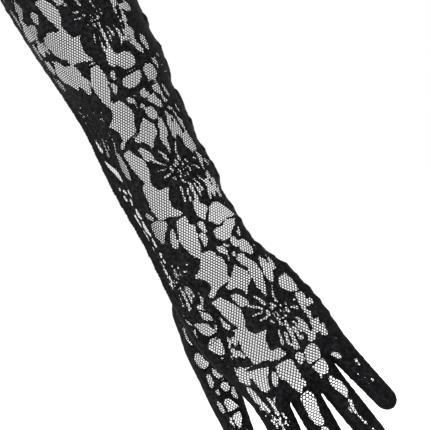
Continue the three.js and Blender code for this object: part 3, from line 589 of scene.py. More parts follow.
def insideOutline(u, v, outline):
    # how far inside a closed outline each point lies, below 0 outside it
    nearest = np.full(u.shape, 1e6, np.float32)
    inside = np.zeros(u.shape, bool)
    for p, q in zip(outline, np.roll(outline, -1, axis=0)):
        d = q - p
        length = float(d @ d)
        if length < 1e-9:
            continue
        crosses = (v > p[1]) != (v > q[1])
        with np.errstate(divide="ignore", invalid="ignore"):
            inside ^= crosses & (u < p[0] + (v - p[1]) * d[0] / d[1])
        t = np.clip(((u - p[0]) * d[0] + (v - p[1]) * d[1]) / length, 0, 1)
        nearest = np.minimum(nearest, (u - p[0] - t * d[0]) ** 2 + (v - p[1] - t * d[1]) ** 2)
    return np.where(inside, 1, -1) * np.sqrt(nearest)


def insideStroke(u, v, line, half):
    # the same for a line with half widths
    best = np.full(u.shape, -whole)
    for p, q, w0, w1 in zip(line[:-1], line[1:], half[:-1], half[1:]):
        d = q - p
        t = np.clip(((u - p[0]) * d[0] + (v - p[1]) * d[1]) / (d @ d), 0, 1)
        away = np.hypot(u - p[0] - t * d[0], v - p[1] - t * d[1])
        best = np.maximum(best, w0 + (w1 - w0) * t - away)
    return best


def rounded(outline):
    # cuts the corners of a closed outline, twice
    for turn in range(2):
        following = np.roll(outline, -1, axis=0)
        outline = np.stack([outline * 0.75 + following * 0.25, outline * 0.25 + following * 0.75], axis=1)
        outline = outline.reshape(-1, 2)
    return outline


def between(values, i, j, fx, fy):
    # from a grid's values at column i and row j to the next ones
    upper = values[j, i] * (1 - fx) + values[j, i + 1] * fx
    lower = values[j + 1, i] * (1 - fx) + values[j + 1, i + 1] * fx
    return upper * (1 - fy) + lower * fy


def patchy(u, v, patches):
    # smooth random values over the cloth, the same on each run
    amount, width, height, seed = patches
    count = 256
    values = np.random.default_rng(seed).uniform(-1, 1, (count + 1, count + 1))
    x, y = (u / width + count / 2) % count, (v / height + count / 2) % count
    i, j = x.astype(int), y.astype(int)
    return amount * between(values, i, j, smoothStep(x - i), smoothStep(y - j))


# A point that is charted on the worn panel finds its place on the cloth from so many points of the
# cage, the closest ones most: blur is added to their distances, and steady holds the turn
nearby = {"points": 6, "blur": 0.3, "steady": 0.02}


def fromWorn(cage, points):
    # from x and station on the worn panel to u and v on the cloth, and widths as they are
    flat, worn = np.array(cage.flat), np.array(cage.worn)
    front = np.column_stack([worn[:, 0], -worn[:, 2]])
    found = []
    for point in points[:, :2]:
        away = np.hypot(*(front - point).T)
        near = np.argsort(away)[:nearby["points"]]
        share = 1 / (away[near] + nearby["blur"]) ** 2
        share = share / share.sum()
        here, there = front[near].T @ share, flat[near].T @ share
        spread = ((front[near] - here) * share[:, None]).T
        steady = nearby["steady"] * np.eye(2)
        turn = np.linalg.solve(spread @ (front[near] - here) + steady, spread @ (flat[near] - there) + steady)
        found.append(there + (point - here) @ turn)
    return np.column_stack([found, points[:, 2:]])


def moved(points, by):
    # a stroke or an outline moved across and down
    return points + [*by, 0][:points.shape[1]]


class Drawing:
    # how far inside the woven shapes each point of a flat sheet lies, below 0 on the net
    margin = 3  # round the sheet
    pastStroke, pastWindow = 1, 1.5  # how far round a shape the distance to it is drawn
    finer = 5  # a stroke's steps between two charted points

    def __init__(self, flat, start):
        step = repeat["step"]
        low, high = flat.min(axis=0) - self.margin, flat.max(axis=0) + self.margin
        self.u, self.v = (np.arange(low[k] - 2 * step, high[k] + 3 * step, step) for k in (0, 1))
        self.grid = np.meshgrid(self.u, self.v)
        self.start = np.array(start, float)
        self.woven = np.full(self.grid[0].shape, whole)
        self.specks = self.woven.copy()

    def place(self, points, crept=True):
        # from the repeat's a and b to the sheet's u and v
        c, s = math.cos(repeat["grain"]), math.sin(repeat["grain"])
        a, b = points[..., 0], points[..., 1]
        creep = smoothTable(drift, np.clip(b, drift[0][0], drift[-1][0])) if crept else np.array([0, 0, 1])
        a = a * creep[..., 2]
        return np.stack([a * c + b * s, b * c - a * s], axis=-1) + creep[..., :2] + self.start

    def open(self, line, reach, field, inside):
        # cuts a shape out of a field, the woven one if none is given
        field = self.woven if field is None else field
        low, high = line.min(axis=0) - reach, line.max(axis=0) + reach
        columns = slice(*np.searchsorted(self.u, [low[0], high[0]]))
        rows = slice(*np.searchsorted(self.v, [low[1], high[1]]))
        u, v = np.meshgrid(self.u[columns], self.v[rows])
        if u.size:
            field[rows, columns] = np.minimum(field[rows, columns], -inside(u, v))

    def stroke(self, points, charted=False, field=None):
        count = len(points)
        if count > 2:
            rows = np.column_stack([np.arange(count), points])
            points = smoothTable(rows, np.linspace(0, count - 1, self.finer * (count - 1) + 1))
        line = points[:, :2] if charted else self.place(points)
        half = np.maximum(points[:, 2], repeat["narrowest"]) / 2 + repeat["strokeGrow"]
        reach = half.max() + self.pastStroke
        self.open(line, reach, field, lambda u, v: insideStroke(u, v, line, half))

    def window(self, outline, charted=False, field=None):
        line = rounded(outline)
        line = line if charted else self.place(line)
        self.open(line, self.pastWindow, field, lambda u, v: insideOutline(u, v, line) + repeat["grow"])

    def repeatAll(self, everywhere):
        # the half-dropped daisies' windows fill the rest, but not where each one is charted
        drop = np.array(repeat["drop"])
        for i in repeat["across"]:
            for j in repeat["down"]:
                shift = np.array([i * repeat["width"], j * repeat["height"]])
                for points in daisySlits:
                    self.stroke(moved(points, shift))
                    self.stroke(moved(points, shift + drop))
                for k, outline in enumerate(windows):
                    if (i, j) != (0, 0) or k not in repeat["chartedElsewhere"]:
                        self.window(moved(outline, shift))
                    dropped = moved(moved(outline, shift), drop)
                    clear = outline[:, 0].min() > repeat["gap"][0] and outline[:, 0].max() < repeat["gap"][1]
                    if clear and (everywhere or self.place(dropped)[:, 1].max() < repeat["chartedFrom"]):
                        self.window(dropped)
                for points in cracks:
                    self.stroke(moved(points, shift))
                if everywhere or j < 0:
                    for outline in gapWindows:
                        self.window(moved(outline, shift))

    def chartHand(self, cage, everywhere):
        for outline in sideWindows:
            self.window(outline, True)
        for outline in handWindows:
            self.window(fromWorn(cage, outline), True)
        for points in specks:
            self.stroke(fromWorn(cage, points * [1, 1, repeat["speckGrow"]]), True, self.specks)
        if not everywhere:
            self.woven[self.v > fingerFrom] = whole
        for outline in fingerWindows:
            self.window(fromWorn(cage, outline), True)
        for points in [moved(points, fingerDaisy) for points in daisySlits] + fingerCracks:
            self.stroke(fromWorn(cage, points), True)

    def chartThumb(self, way):
        for outline in thumbWindows:
            self.window(outline * [way, 1], True)

    def sample(self, field, points):
        # the value between grid points at each of a list of points
        x = np.clip((points[:, 0] - self.u[0]) / repeat["step"], 0, len(self.u) - 1.001)
        y = np.clip((points[:, 1] - self.v[0]) / repeat["step"], 0, len(self.v) - 1.001)
        i, j = x.astype(int), y.astype(int)
        return between(field, i, j, x - i, y - j)


def clothWhere(drawing, field):
    # a flat mesh of the cells where the field is above 0, cut along its zero line
    inside = field > 0
    touched = inside[:-1, :-1] | inside[1:, :-1] | inside[:-1, 1:] | inside[1:, 1:]
    sliver = 0.04  # no cut comes nearer to a cell's corner than this share of its side
    points, found, faces = [], {}, []

    def number(key, point):
        if key not in found:
            found[key] = len(points)
            points.append(point)
        return found[key]

    corners = [(0, 0), (1, 0), (1, 1), (0, 1)]
    for row, column in zip(*np.nonzero(touched)):
        face = []
        cell = [(row + dr, column + dc) for dr, dc in corners]
        for (r0, c0), (r1, c1) in zip(cell, cell[1:] + cell[:1]):
            if inside[r0, c0]:
                face.append(number((r0, c0), (drawing.u[c0], drawing.v[r0])))
            if inside[r0, c0] != inside[r1, c1]:
                share = field[r0, c0] / (field[r0, c0] - field[r1, c1])
                share = min(max(share, sliver), 1 - sliver)
                point = (drawing.u[c0] + share * (drawing.u[c1] - drawing.u[c0]),
                         drawing.v[r0] + share * (drawing.v[r1] - drawing.v[r0]))
                face.append(number((min(r0, r1), min(c0, c1), r0 == r1), point))
        faces.append(face)
    return np.array(points), faces


# The net between the flowers: long hexagons of thread with a ridge along the outside
net = {
    "across": 1.95, "down": 1.5, "pillar": 0.6, "thread": 0.55, "underPalm": 0.2, "ridge": 0.2, "under": 0.05,
    "pastEdge": 0.2, "intoCloth": 0.3, "offHoles": 0.1,
}


def netLinks(drawing, outside, woven, holes):
    # the nodes, first all upper ones and then all lower ones, and the threads of each way between them
    low, high = (np.array([drawing.u[k], drawing.v[k]]) - drawing.start for k in (0, -1))
    reach = math.tan(repeat["grain"]) * (high - low).max() + 2 * net["across"]
    pitch = np.array([net["across"], net["down"]])
    first, last = np.floor((low - reach) / pitch), np.ceil((high + reach) / pitch)
    j, i = np.meshgrid(np.arange(first[1], last[1]), np.arange(first[0], last[0]), indexing="ij")
    upper = np.stack([(i + 0.5 * (j % 2)) * net["across"], j * net["down"]], axis=-1)
    nodes = np.stack([upper, upper + [0, net["pillar"]]]).reshape(-1, 2)
    nodes = drawing.place(nodes, crept=False)
    count, columns = i.size, i.shape[1]
    number = np.arange(count).reshape(i.shape)
    links = [(number.ravel(), number.ravel() + count)]  # the pillars
    for left in (1, 0):
        column = np.arange(columns) + (j[:-1] % 2).astype(int) - left
        fits = (column >= 0) & (column < columns)
        below = np.take_along_axis(number[1:], np.clip(column, 0, columns - 1), axis=1)
        links.append((below[fits], number[:-1][fits] + count))
    kept = []
    for upperEnd, lowerEnd in links:
        middle = (nodes[upperEnd] + nodes[lowerEnd]) / 2
        keep = drawing.sample(outside, middle) > -net["pastEdge"]
        keep &= drawing.sample(woven, middle) < net["intoCloth"]
        keep &= drawing.sample(holes, middle) > net["offHoles"]
        kept.append((upperEnd[keep], lowerEnd[keep]))
    return nodes, kept


def netThreads(drawing, nodes, links, thread):
    # each node has three corners between its three threads, and one point on the ridge
    half, rise = net["across"] / 2, net["down"] - net["pillar"]
    ways = unit(np.array([(0, net["pillar"]), (half, -rise), (-half, -rise)]))
    following = np.roll(ways, -1, axis=0)
    turn = np.arccos(np.sum(ways * following, axis=1, keepdims=True)) / 2
    offsets = unit(ways + following) * thread / 2 / np.sin(turn)
    offsets = drawing.place(offsets, crept=False) - drawing.start
    used = np.unique(np.concatenate([ends for link in links for ends in link]))
    place = np.full(len(nodes), -1)
    place[used] = np.arange(len(used))
    corner = np.empty((len(used), 4, 3))
    isUpper = (used < len(nodes) // 2)[:, None, None]
    corner[:, :, :2] = nodes[used][:, None]
    corner[:, :3, :2] += np.where(isUpper, offsets, -offsets)
    corner[:, :3, 2] = -net["under"]
    corner[:, 3, 2] = net["ridge"]
    # thread k of a node lies between its corners k - 1 and k
    at = np.arange(len(used)) * 4
    quads, ends = [], [np.stack([at, at + 2, at + 1], axis=-1)]
    for k, (upperEnd, lowerEnd) in enumerate(links):
        p, q = place[upperEnd] * 4, place[lowerEnd] * 4
        before, after = (k - 1) % 3, k
        quads.append(np.stack([p + before, q + after, q + 3, p + 3], axis=-1))
        quads.append(np.stack([p + 3, q + 3, q + before, p + after], axis=-1))
        quads.append(np.stack([p + after, q + before, q + after, p + before], axis=-1))
        bare = np.setdiff1d(at, np.concatenate([p, q]))
        ends.append(np.stack([bare + before, bare + after, bare + 3], axis=-1))
    return corner.reshape(-1, 3), np.concatenate(quads).tolist() + np.concatenate(ends).tolist()


thumbCentres = np.array([[x, y, -down] for x, y, down, radius in thumbRows], float)


def thumbMiddle(t):
    # a smooth line through the middles of the thumb, t from 0 at its root to 1 at its tip
    points = np.vstack([2 * thumbCentres[0] - thumbCentres[1], thumbCentres,
                        2 * thumbCentres[-1] - thumbCentres[-2]])
    at = np.clip(t, 0, 1) * (len(thumbCentres) - 1)
    i = np.minimum(at.astype(int), len(thumbCentres) - 2)
    w = (at - i)[..., None]
    p0, p1, p2, p3 = (points[i + k] for k in range(4))
    d0, d1, d2 = (np.sqrt(np.linalg.norm(b - a, axis=-1, keepdims=True))
                  for a, b in ((p0, p1), (p1, p2), (p2, p3)))
    m1 = ((p1 - p0) / d0 - (p2 - p0) / (d0 + d1) + (p2 - p1) / d1) * d1
    m2 = ((p2 - p1) / d1 - (p3 - p1) / (d1 + d2) + (p3 - p2) / d2) * d1
    return p1 + m1 * w + (3 * (p2 - p1) - 2 * m1 - m2) * w**2 + (2 * (p1 - p2) + m1 + m2) * w**3


def thumbRing(t, angle):
    t = np.asarray(t, float)
    middle = thumbMiddle(t)
    forward = unit(thumbMiddle(np.minimum(t + 1e-4, 1)) - thumbMiddle(np.maximum(t - 1e-4, 0)))
    across = unit(np.cross(np.array([0.0, 1.0, 0.0]), forward))
    down = np.cross(forward, across)
    last = len(thumbRows) - 1
    radii = [[i, row[3]] for i, row in enumerate(thumbRows[:-1])]
    radius = smoothTable(radii, np.minimum(t * last, last - 1))[..., 0]
    left = np.linalg.norm(thumbCentres[-1] - middle, axis=-1)
    radius = radius * np.sqrt(1 - np.maximum(0, 1 - left / thumbShape["tip"]) ** 2)
    wide = np.cos(angle)[..., None] * across[..., None, :]
    deep = np.sin(angle)[..., None] * down[..., None, :] * thumbShape["depth"]
    return middle[..., None, :] + (wide + deep) * radius[..., None, None]


def thumbRings(t, angles):
    # a ring of points with the same angles at each t
    return thumbRing(t, np.broadcast_to(angles, (len(t), len(angles))))


def thumbShare(row):
    # rows from 0 at the root, closer together towards the tip
    return 1 - (1 - np.asarray(row, float) / thumbShape["rows"]) ** thumbShape["crowding"]


def thumbGrid(columns):
    # where the cage's rows lie along the thumb, their distances along its middle, and the angles round it
    rows = thumbShare(np.linspace(0, thumbShape["rows"] - 1, thumbShape["steps"]))
    angles = np.linspace(*columns, thumbShape["around"]) * thumbShape["column"]
    return rows, arcLengths(thumbMiddle(rows)), angles


def thumbCage(columns):
    cage = Cage()
    rows, along, angles = thumbGrid(columns)
    worn = thumbRings(rows, angles)
    arcs = arcLengths(worn)
    u = arcs - arcs[:, -1:] / 2
    numbers = cage.add(np.stack([u, np.broadcast_to(along[:, None], u.shape)], axis=-1), worn)
    cage.grid(numbers)
    outline = [*numbers[:, 0], *numbers[-1, 1:], *numbers[-2::-1, -1], *numbers[0, -2:0:-1]]
    return cage, np.array(outline)


def insideHand(points):
    # how deep each point lies within the glove above its knuckles, below 0 outside. The sections
    # slant, so its station is found in two rounds.
    x, y, z = points.T
    station = np.clip(-z, 0, sleeve["knuckles"])
    for turn in range(2):
        s = sectionAt(station)
        across = (x - s["right"] + s["half"]) / s["half"]
        station = np.clip(s["slant"] * np.clip(across, -1, 1) - z, 0, sleeve["knuckles"])
    depth = np.where(y < 0, s["back"], s["palm"])
    return (1 - np.hypot(across, y / depth)) * depth


def thumbHidden(drawing, columns):
    # how deep each point of the thumb's drawing lies in the rest of the glove
    rows, along, angles = thumbGrid(columns)
    t = np.interp(drawing.v, along, rows)
    wide = arcLengths(thumbRings(t, angles))[:, -1:]
    across = np.clip(drawing.u[None] / wide + 0.5, 0, 1)
    worn = thumbRing(t, angles[0] + (angles[-1] - angles[0]) * across)
    return insideHand(worn.reshape(-1, 3)).reshape(across.shape)


def insideThumb(points):
    # the same within the thumb, for the points beside it
    t = np.linspace(0, 1, 120)
    middles, rims = thumbMiddle(t), thumbRing(t, np.zeros((len(t), 1)))[:, 0]
    radii = np.linalg.norm(rims - middles, axis=1)
    low, high = thumbShape["besideHand"]
    close = np.nonzero((points[:, 0] < 0) & (points[:, 2] > low) & (points[:, 2] < high))[0]
    found = np.full(len(points), -whole)
    away = np.linalg.norm(points[close, None] - middles[None], axis=2)
    found[close] = (radii[None] - away).max(axis=1)
    return found


# Mesh helpers

def makeObject(name, points, faces):
    mesh = bpy.data.meshes.new(name)
    mesh.from_pydata((np.asarray(points) * mm).tolist(), [], faces)
    mesh.update()
    piece = bpy.data.objects.new(name, mesh)
    bpy.context.collection.objects.link(piece)
    return piece


def pick(piece):
    bpy.ops.object.select_all(action="DESELECT")
    bpy.context.view_layer.objects.active = piece
    piece.select_set(True)


def thicken(piece, wall):
    # gives a sheet its wall, inwards
    pick(piece)
    modifier = piece.modifiers.new("wall", "SOLIDIFY")
    modifier.thickness, modifier.offset = wall * mm, -1
    bpy.ops.object.modifier_apply(modifier=modifier.name)


def faceOut(piece):
    # turns all faces outwards
    pick(piece)
    bpy.ops.object.mode_set(mode="EDIT")
    bpy.ops.mesh.select_all(action="SELECT")
    bpy.ops.mesh.normals_make_consistent(inside=False)
    bpy.ops.object.mode_set(mode="OBJECT")


def shadeSmooth(piece):
    pick(piece)
    bpy.ops.object.shade_smooth()


def read(items, name, width=1, kind=float):
    # one value or vector of each vertex, loop or face
    values = np.empty(len(items) * width, kind)
    items.foreach_get(name, values)
    return values if width == 1 else values.reshape(-1, width)


def places(piece):
    return read(piece.data.vertices, "co", 3) / mm


def store(piece, values):
    # the place on the flat cloth and the height or depth there, for the materials
    layer = piece.data.attributes.new("lay", "FLOAT_VECTOR", "POINT")
    layer.data.foreach_set("vector", np.ascontiguousarray(values * mm, np.float32).ravel())


def addMap(piece, uv):
    piece.data.uv_layers.new(name="OFBake").data.foreach_set("uv", uv.astype(np.float32).ravel())


def layOut(piece, perVertex):
    # the flat map: the faces that look out on its left half, those that look in on its right
    mesh = piece.data
    gap, rim = 0.05, 0.005
    low, high = perVertex.min(axis=0), perVertex.max(axis=0)
    wide, tall = high - low
    size = max((2 + 2 * gap) * wide, tall) * (1 + 4 * rim)
    corner = read(mesh.loops, "vertex_index", kind=int)
    totals = read(mesh.polygons, "loop_total", kind=int)
    inward = np.repeat(read(mesh.polygons, "normal", 3)[:, 2] < -0.1, totals)
    uv = (perVertex[corner] - low) / size + rim
    uv[:, 0] += np.where(inward, (1 + gap) * wide / size, 0)
    addMap(piece, uv)


def flatObject(name, points, height, faces, mirror):
    # a flat mesh, seen from outside the glove: the palm's side is mirrored
    flip = -1 if mirror else 1
    flat = np.column_stack([flip * points[:, 0], -points[:, 1], height + 0 * points[:, 0]])
    return makeObject(name, flat, [face[::-1] for face in faces] if mirror else faces)


def wear(piece, cage, mirror):
    # the flat piece follows a pattern that goes from its flat shape to the worn one
    pattern = flatObject("pattern", np.array(cage.flat), 0, cage.faces, mirror)
    pattern.shape_key_add(name="flat")
    key = pattern.shape_key_add(name="worn")
    key.data.foreach_set("co", (np.array(cage.worn) * mm).ravel())
    pick(piece)
    modifier = piece.modifiers.new("worn", "SURFACE_DEFORM")
    modifier.target = pattern
    bpy.ops.object.surfacedeform_bind(modifier="worn")
    key.value = 1
    bpy.context.view_layer.update()
    bpy.ops.object.modifier_apply(modifier="worn")
    bpy.data.objects.remove(pattern)


def cutAway(piece, hidden):
    # takes out the faces whose points are all hidden
    bm = bmesh.new()
    bm.from_mesh(piece.data)
    gone = [face for face in bm.faces if all(hidden[v.index] for v in face.verts)]
    bmesh.ops.delete(bm, geom=gone, context="FACES")
    bm.to_mesh(piece.data)
    bm.free()


def flatArea(points, faces):
    total = 0.0
    for face in faces:
        p = points[face]
        q = np.roll(p, -1, axis=0)
        total += abs(np.sum(p[:, 0] * q[:, 1] - q[:, 0] * p[:, 1])) / 2
    return total * mm * mm


# The lace, in four panels: the glove's back and palm, and its thumb's front and back
lace = {
    "top": -0.12, "wall": 0.3, "netTop": -0.36, "tuck": 0.45, "thumbTuck": 0.6, "inThumb": 0.9,
    "deepest": 3,  # depths in the cloth are told to the materials up to here
    "smooth": math.radians(50),  # steeper edges stay sharp
}
panels = {
    "back": {"side": -1, "open": 0, "nodes": ["sleeve", "hand", "index", "middle", "ring", "little"]},
    "palm": {"side": 1, "open": 0.06, "nodes": ["sleeve", "hand", "index", "middle", "ring", "little"]},
    "thumb_front": {"columns": (1, 7), "start": (4, 82), "way": -1, "open": 0.2},
    "thumb_back": {"columns": (9, 15), "start": (-8, 60), "way": 1, "open": 0},
}
# how far the knitting steps in and out along the windows. Patches are how much, width, height
# and seed, here and below
edges = {
    "ragged": 0.34, "stitch": 1.6, "wave": 0.4,
    "sway": (2, 6, 6, 9), "fine": (1, 1.5, 1.5, 10), "coarse": (0.9, 3.2, 3.2, 11),
}
# the close, gathered strip along the seams
bands = {
    "thumb": 2.0, "thumbUneven": (0.5, 5, 5, 3),
    "sleeve": 1.2, "finger": 1.8, "fingerUneven": (0.7, 4, 4, 8), "from": 322, "to": 352,
    "uneven": (0.32, 9, 11, 4), "finelyUneven": (0.18, 3, 4, 5),
    "speckFrom": 0.55, "specks": (1, 1.5, 2.3, 6), "speckPatches": (0.35, 7, 16, 7), "speckSlope": 1.2,
    "unbroken": 1.8, "offWindows": 0.5, "palm": 2.5,
    "tips": (15, 14, 16, 15),  # how far round each fingertip the cloth is closely woven
}
gathers = [
    # station, how far the gathers reach from the left seam, and from the right
    (0, 4, 4), (60, 4, 4), (105, 5, 4), (125, 14, 5), (240, 14, 5), (265, 7, 4), (300, 3.5, 3.5),
    (335, 3.5, 4),
]
# doubled cloth over the forks
folds = strokes([
    [38, 329, 3, 43, 334, 6, 50, 341, 4], [-6, 347, 2.5, 0, 349, 6, 4, 352, 7], [23, 344, 4, 23.5, 354, 6],
])


def gathersAt(drawing, name, outside):
    u, v = drawing.grid
    stations, left, right = np.array(gathers, float).T
    section = sectionAt(np.clip(drawing.v, 0, sleeve["knuckles"]))
    middle = ((section["left"] + section["right"]) / 2)[:, None]
    reach = np.where(u < middle, np.interp(v, stations, left), np.interp(v, stations, right))
    reach = reach * (1 + patchy(u, v, bands["uneven"]) + patchy(u, v, bands["finelyUneven"]))
    closed = bands["speckFrom"] - patchy(u, v, bands["specks"]) - patchy(u, v, bands["speckPatches"])
    closed = np.where(outside > bands["unbroken"], closed * bands["speckSlope"], whole)
    gather = np.minimum(np.minimum(reach - outside, closed), drawing.woven + bands["offWindows"])
    return np.minimum(gather, bands["palm"] - outside) if name == "palm" else gather


def bandAt(drawing, name, cage, outside):
    u, v = drawing.grid
    if name.startswith("thumb"):
        return bands["thumb"] - outside + patchy(u, v, bands["thumbUneven"])
    wider = bands["finger"] - bands["sleeve"] + patchy(u, v, bands["fingerUneven"])
    wider = wider * smoothStep((v - bands["from"]) / (bands["to"] - bands["from"]))
    band = np.maximum(bands["sleeve"] + wider - outside, gathersAt(drawing, name, outside))
    for tip, reach in zip(cage.tips, bands["tips"]):
        band = np.maximum(band, reach - np.hypot(u - tip[0], v - tip[1]))
    for fold in folds:
        band = np.maximum(band, insideStroke(u, v, fold[:, :2], fold[:, 2] / 2))
    return band


def drawSheet(name, panel):
    # the sheet's cage, and for each point of its drawing how far it lies inside the outline, the
    # woven cloth and the net
    if "side" in panel:
        cage, outline = panelCage(panel["side"])
    else:
        cage, outline = thumbCage(panel["columns"])
    flat = np.array(cage.flat)
    drawing = Drawing(flat, panel.get("start", repeat["start"]))
    u, v = drawing.grid
    outside = insideOutline(u.astype(np.float32), v.astype(np.float32), flat[outline])
    if "side" in panel:
        drawing.repeatAll(name == "palm")
        drawing.chartHand(cage, name == "palm")
        if name == "palm":
            drawing.window(fromWorn(cage, palmNet[0]), True, drawing.specks)
    else:
        drawing.chartThumb(panel["way"])
        outside = np.minimum(outside, lace["thumbTuck"] - thumbHidden(drawing, panel["columns"]))
    wave = np.sin(2 * np.pi * u / edges["stitch"] + patchy(u, v, edges["sway"])) * edges["wave"]
    edge = wave + patchy(u, v, edges["fine"]) + patchy(u, v, edges["coarse"])
    woven = np.maximum(drawing.woven - panel["open"], bandAt(drawing, name, cage, outside))
    woven = np.minimum(woven + edges["ragged"] * edge, drawing.specks)  # the charted specks stay open
    holes = drawing.specks if name == "back" else 0 * woven + whole  # the net is pulled apart there
    return {"cage": cage, "drawing": drawing, "outside": outside, "woven": woven, "holes": holes,
            "mirror": panel.get("side") != -1}


def flowers(name, sheet):
    drawing, mirror = sheet["drawing"], sheet["mirror"]
    points, faces = clothWhere(drawing, np.minimum(sheet["woven"], sheet["outside"] + lace["tuck"]))
    piece = flatObject(name + "_flowers", points, lace["top"], faces, mirror)
    thicken(piece, lace["wall"])
    perVertex = places(piece)[:, :2] * [-1 if mirror else 1, -1]
    inside = np.clip(drawing.sample(np.minimum(sheet["woven"], lace["deepest"]), perVertex), 0, None)
    store(piece, np.column_stack([perVertex, inside]))
    layOut(piece, perVertex)
    return piece, np.ptp(points, axis=0) * mm, flatArea(points, faces)


def threads(name, sheet):
    drawing = sheet["drawing"]
    thread = net["underPalm" if name in ("palm", "thumb_front") else "thread"]
    nodes, links = netLinks(drawing, sheet["outside"], sheet["woven"], sheet["holes"])
    points, faces = netThreads(drawing, nodes, links, thread)
    piece = flatObject(name + "_net", points, points[:, 2] + lace["netTop"], faces, sheet["mirror"])
    store(piece, points * [1, 1, 0])
    layOut(piece, points[:, :2])
    return piece


def dress(piece, sheet, name):
    # wears the piece, then takes out what lies inside the thumb
    wear(piece, sheet["cage"], sheet["mirror"])
    if not name.startswith("thumb"):
        cutAway(piece, insideThumb(places(piece)) > lace["inThumb"])
    pick(piece)
    bpy.ops.object.shade_smooth_by_angle(angle=lace["smooth"])


# The seam that joins the panels: it runs down the left, round the fingers and up the right
seam = {
    "half": 5, "columns": 14, "step": 1.1, "tipSteps": 21, "wall": 0.8, "proud": 0.3, "tuck": 0.35,
    "ditch": 0.45, "ditchHalf": 0.5,
    # puckers: height and length along the seam; fine ones: with a seed too
    "puckers": {"left": (0.3, 7), "hand": (0.25, 5.5), "right": (1.3, 17)}, "deepest": -0.3,
    "fine": (0.15, 3.2, 9), "blend": 9,
    "stitch": {"every": 2.4, "from": 3, "rise": 0.15, "length": 2.2, "wide": 0.5, "high": 0.3},
}


# gathers are a few waves of random lengths, shares of the seam's own, that lean and differ in height
ripples = {"waves": 5, "lengths": (0.55, 1.8), "leans": (-0.5, 0.5), "starts": (0, 6.3), "heights": (0.5, 1)}


def ripple(s, e, length, seed):
    # the gathers' height at s along the seam and e across it, the same on each run
    rng = np.random.default_rng(seed)
    total = np.zeros(np.broadcast(s, e).shape)
    for k in range(ripples["waves"]):
        wave = length * rng.uniform(*ripples["lengths"])
        lean, start = rng.uniform(*ripples["leans"]), rng.uniform(*ripples["starts"])
        total = total + np.sin(2 * np.pi * (s + lean * e) / wave + start) * rng.uniform(*ripples["heights"])
    return total / 3


def tipRows(index, edge):
    # over the fingertip, from its left side to its right
    tip = fingerShape["tip"]
    middle, forward, across, down, radius = fingerFrame(index, fingers[index]["length"] - tip)
    aside = down * radius * fingerShape["depth"]
    rows = []
    for turn in np.linspace(0, np.pi, seam["tipSteps"]):
        high = math.sin(turn)
        angle = edge / (radius * fingerShape["depth"] * (1 - high) + tip * high)
        ahead = across * -math.cos(turn) * radius + forward * high * tip
        rows.append(middle + np.cos(angle)[:, None] * ahead + np.sin(angle)[:, None] * aside)
    return rows


def seamRows():
    edge = np.linspace(-seam["half"], seam["half"], seam["columns"] + 1)
    step = seam["step"]
    stations = np.arange(cageShape["start"], sleeve["knuckles"], step)
    knuckle = np.array([sleeve["knuckles"]])
    rows, kinds = [], []

    def keep(points, kind):
        rows.extend(points)
        kinds.extend([kind] * len(points))

    def web(right, index):
        start = sectionEdge(knuckle, edge[None], right)[0]
        shares = np.linspace(0, 1, round((forks["down"][index] - sleeve["knuckles"]) / step) + 1)
        return [webPoint(start, forkEdge(index, edge), share) for share in shares]

    keep(sectionEdge(stations, edge[None], False), "left")
    keep(web(False, 0), "hand")
    for index, finger in enumerate(fingers):
        along = np.arange(step, finger["length"] - fingerShape["tip"], step)
        keep(fingerEdge(index, along, edge[None], False), "hand")
        keep(tipRows(index, edge), "tip")
        keep(fingerEdge(index, along[::-1], edge[None], True), "hand")
        if index < len(fingers) - 1:
            keep([forkEdge(index + 1, edge)], "hand")
    keep(web(True, len(fingers))[::-1], "hand")
    keep(sectionEdge(stations[::-1], edge[None], True), "right")
    return np.array(rows), np.array(kinds), edge


def outward(grid):
    # the directions that a grid of points faces, its columns first and then its rows
    down, across = np.gradient(grid, axis=0), np.gradient(grid, axis=1)
    return unit(np.cross(across, down))


def resampled(at, length, points):
    # the points of a line at other lengths along it
    return np.stack([np.interp(at, length, points[:, k]) for k in range(3)], axis=-1)


def gridMap(piece, rows, columns):
    # a flat map for a grid with a wall: the outer side on the left, the inner on the right
    wide, beside, rim = 0.45, 0.5, 0.02
    number = read(piece.data.loops, "vertex_index", kind=int)
    inner, at = number >= rows * columns, number % (rows * columns)
    u = (at % columns) / columns * wide + inner * beside + rim
    addMap(piece, np.column_stack([u, at // columns / rows * (1 - rim) + rim / 2]))


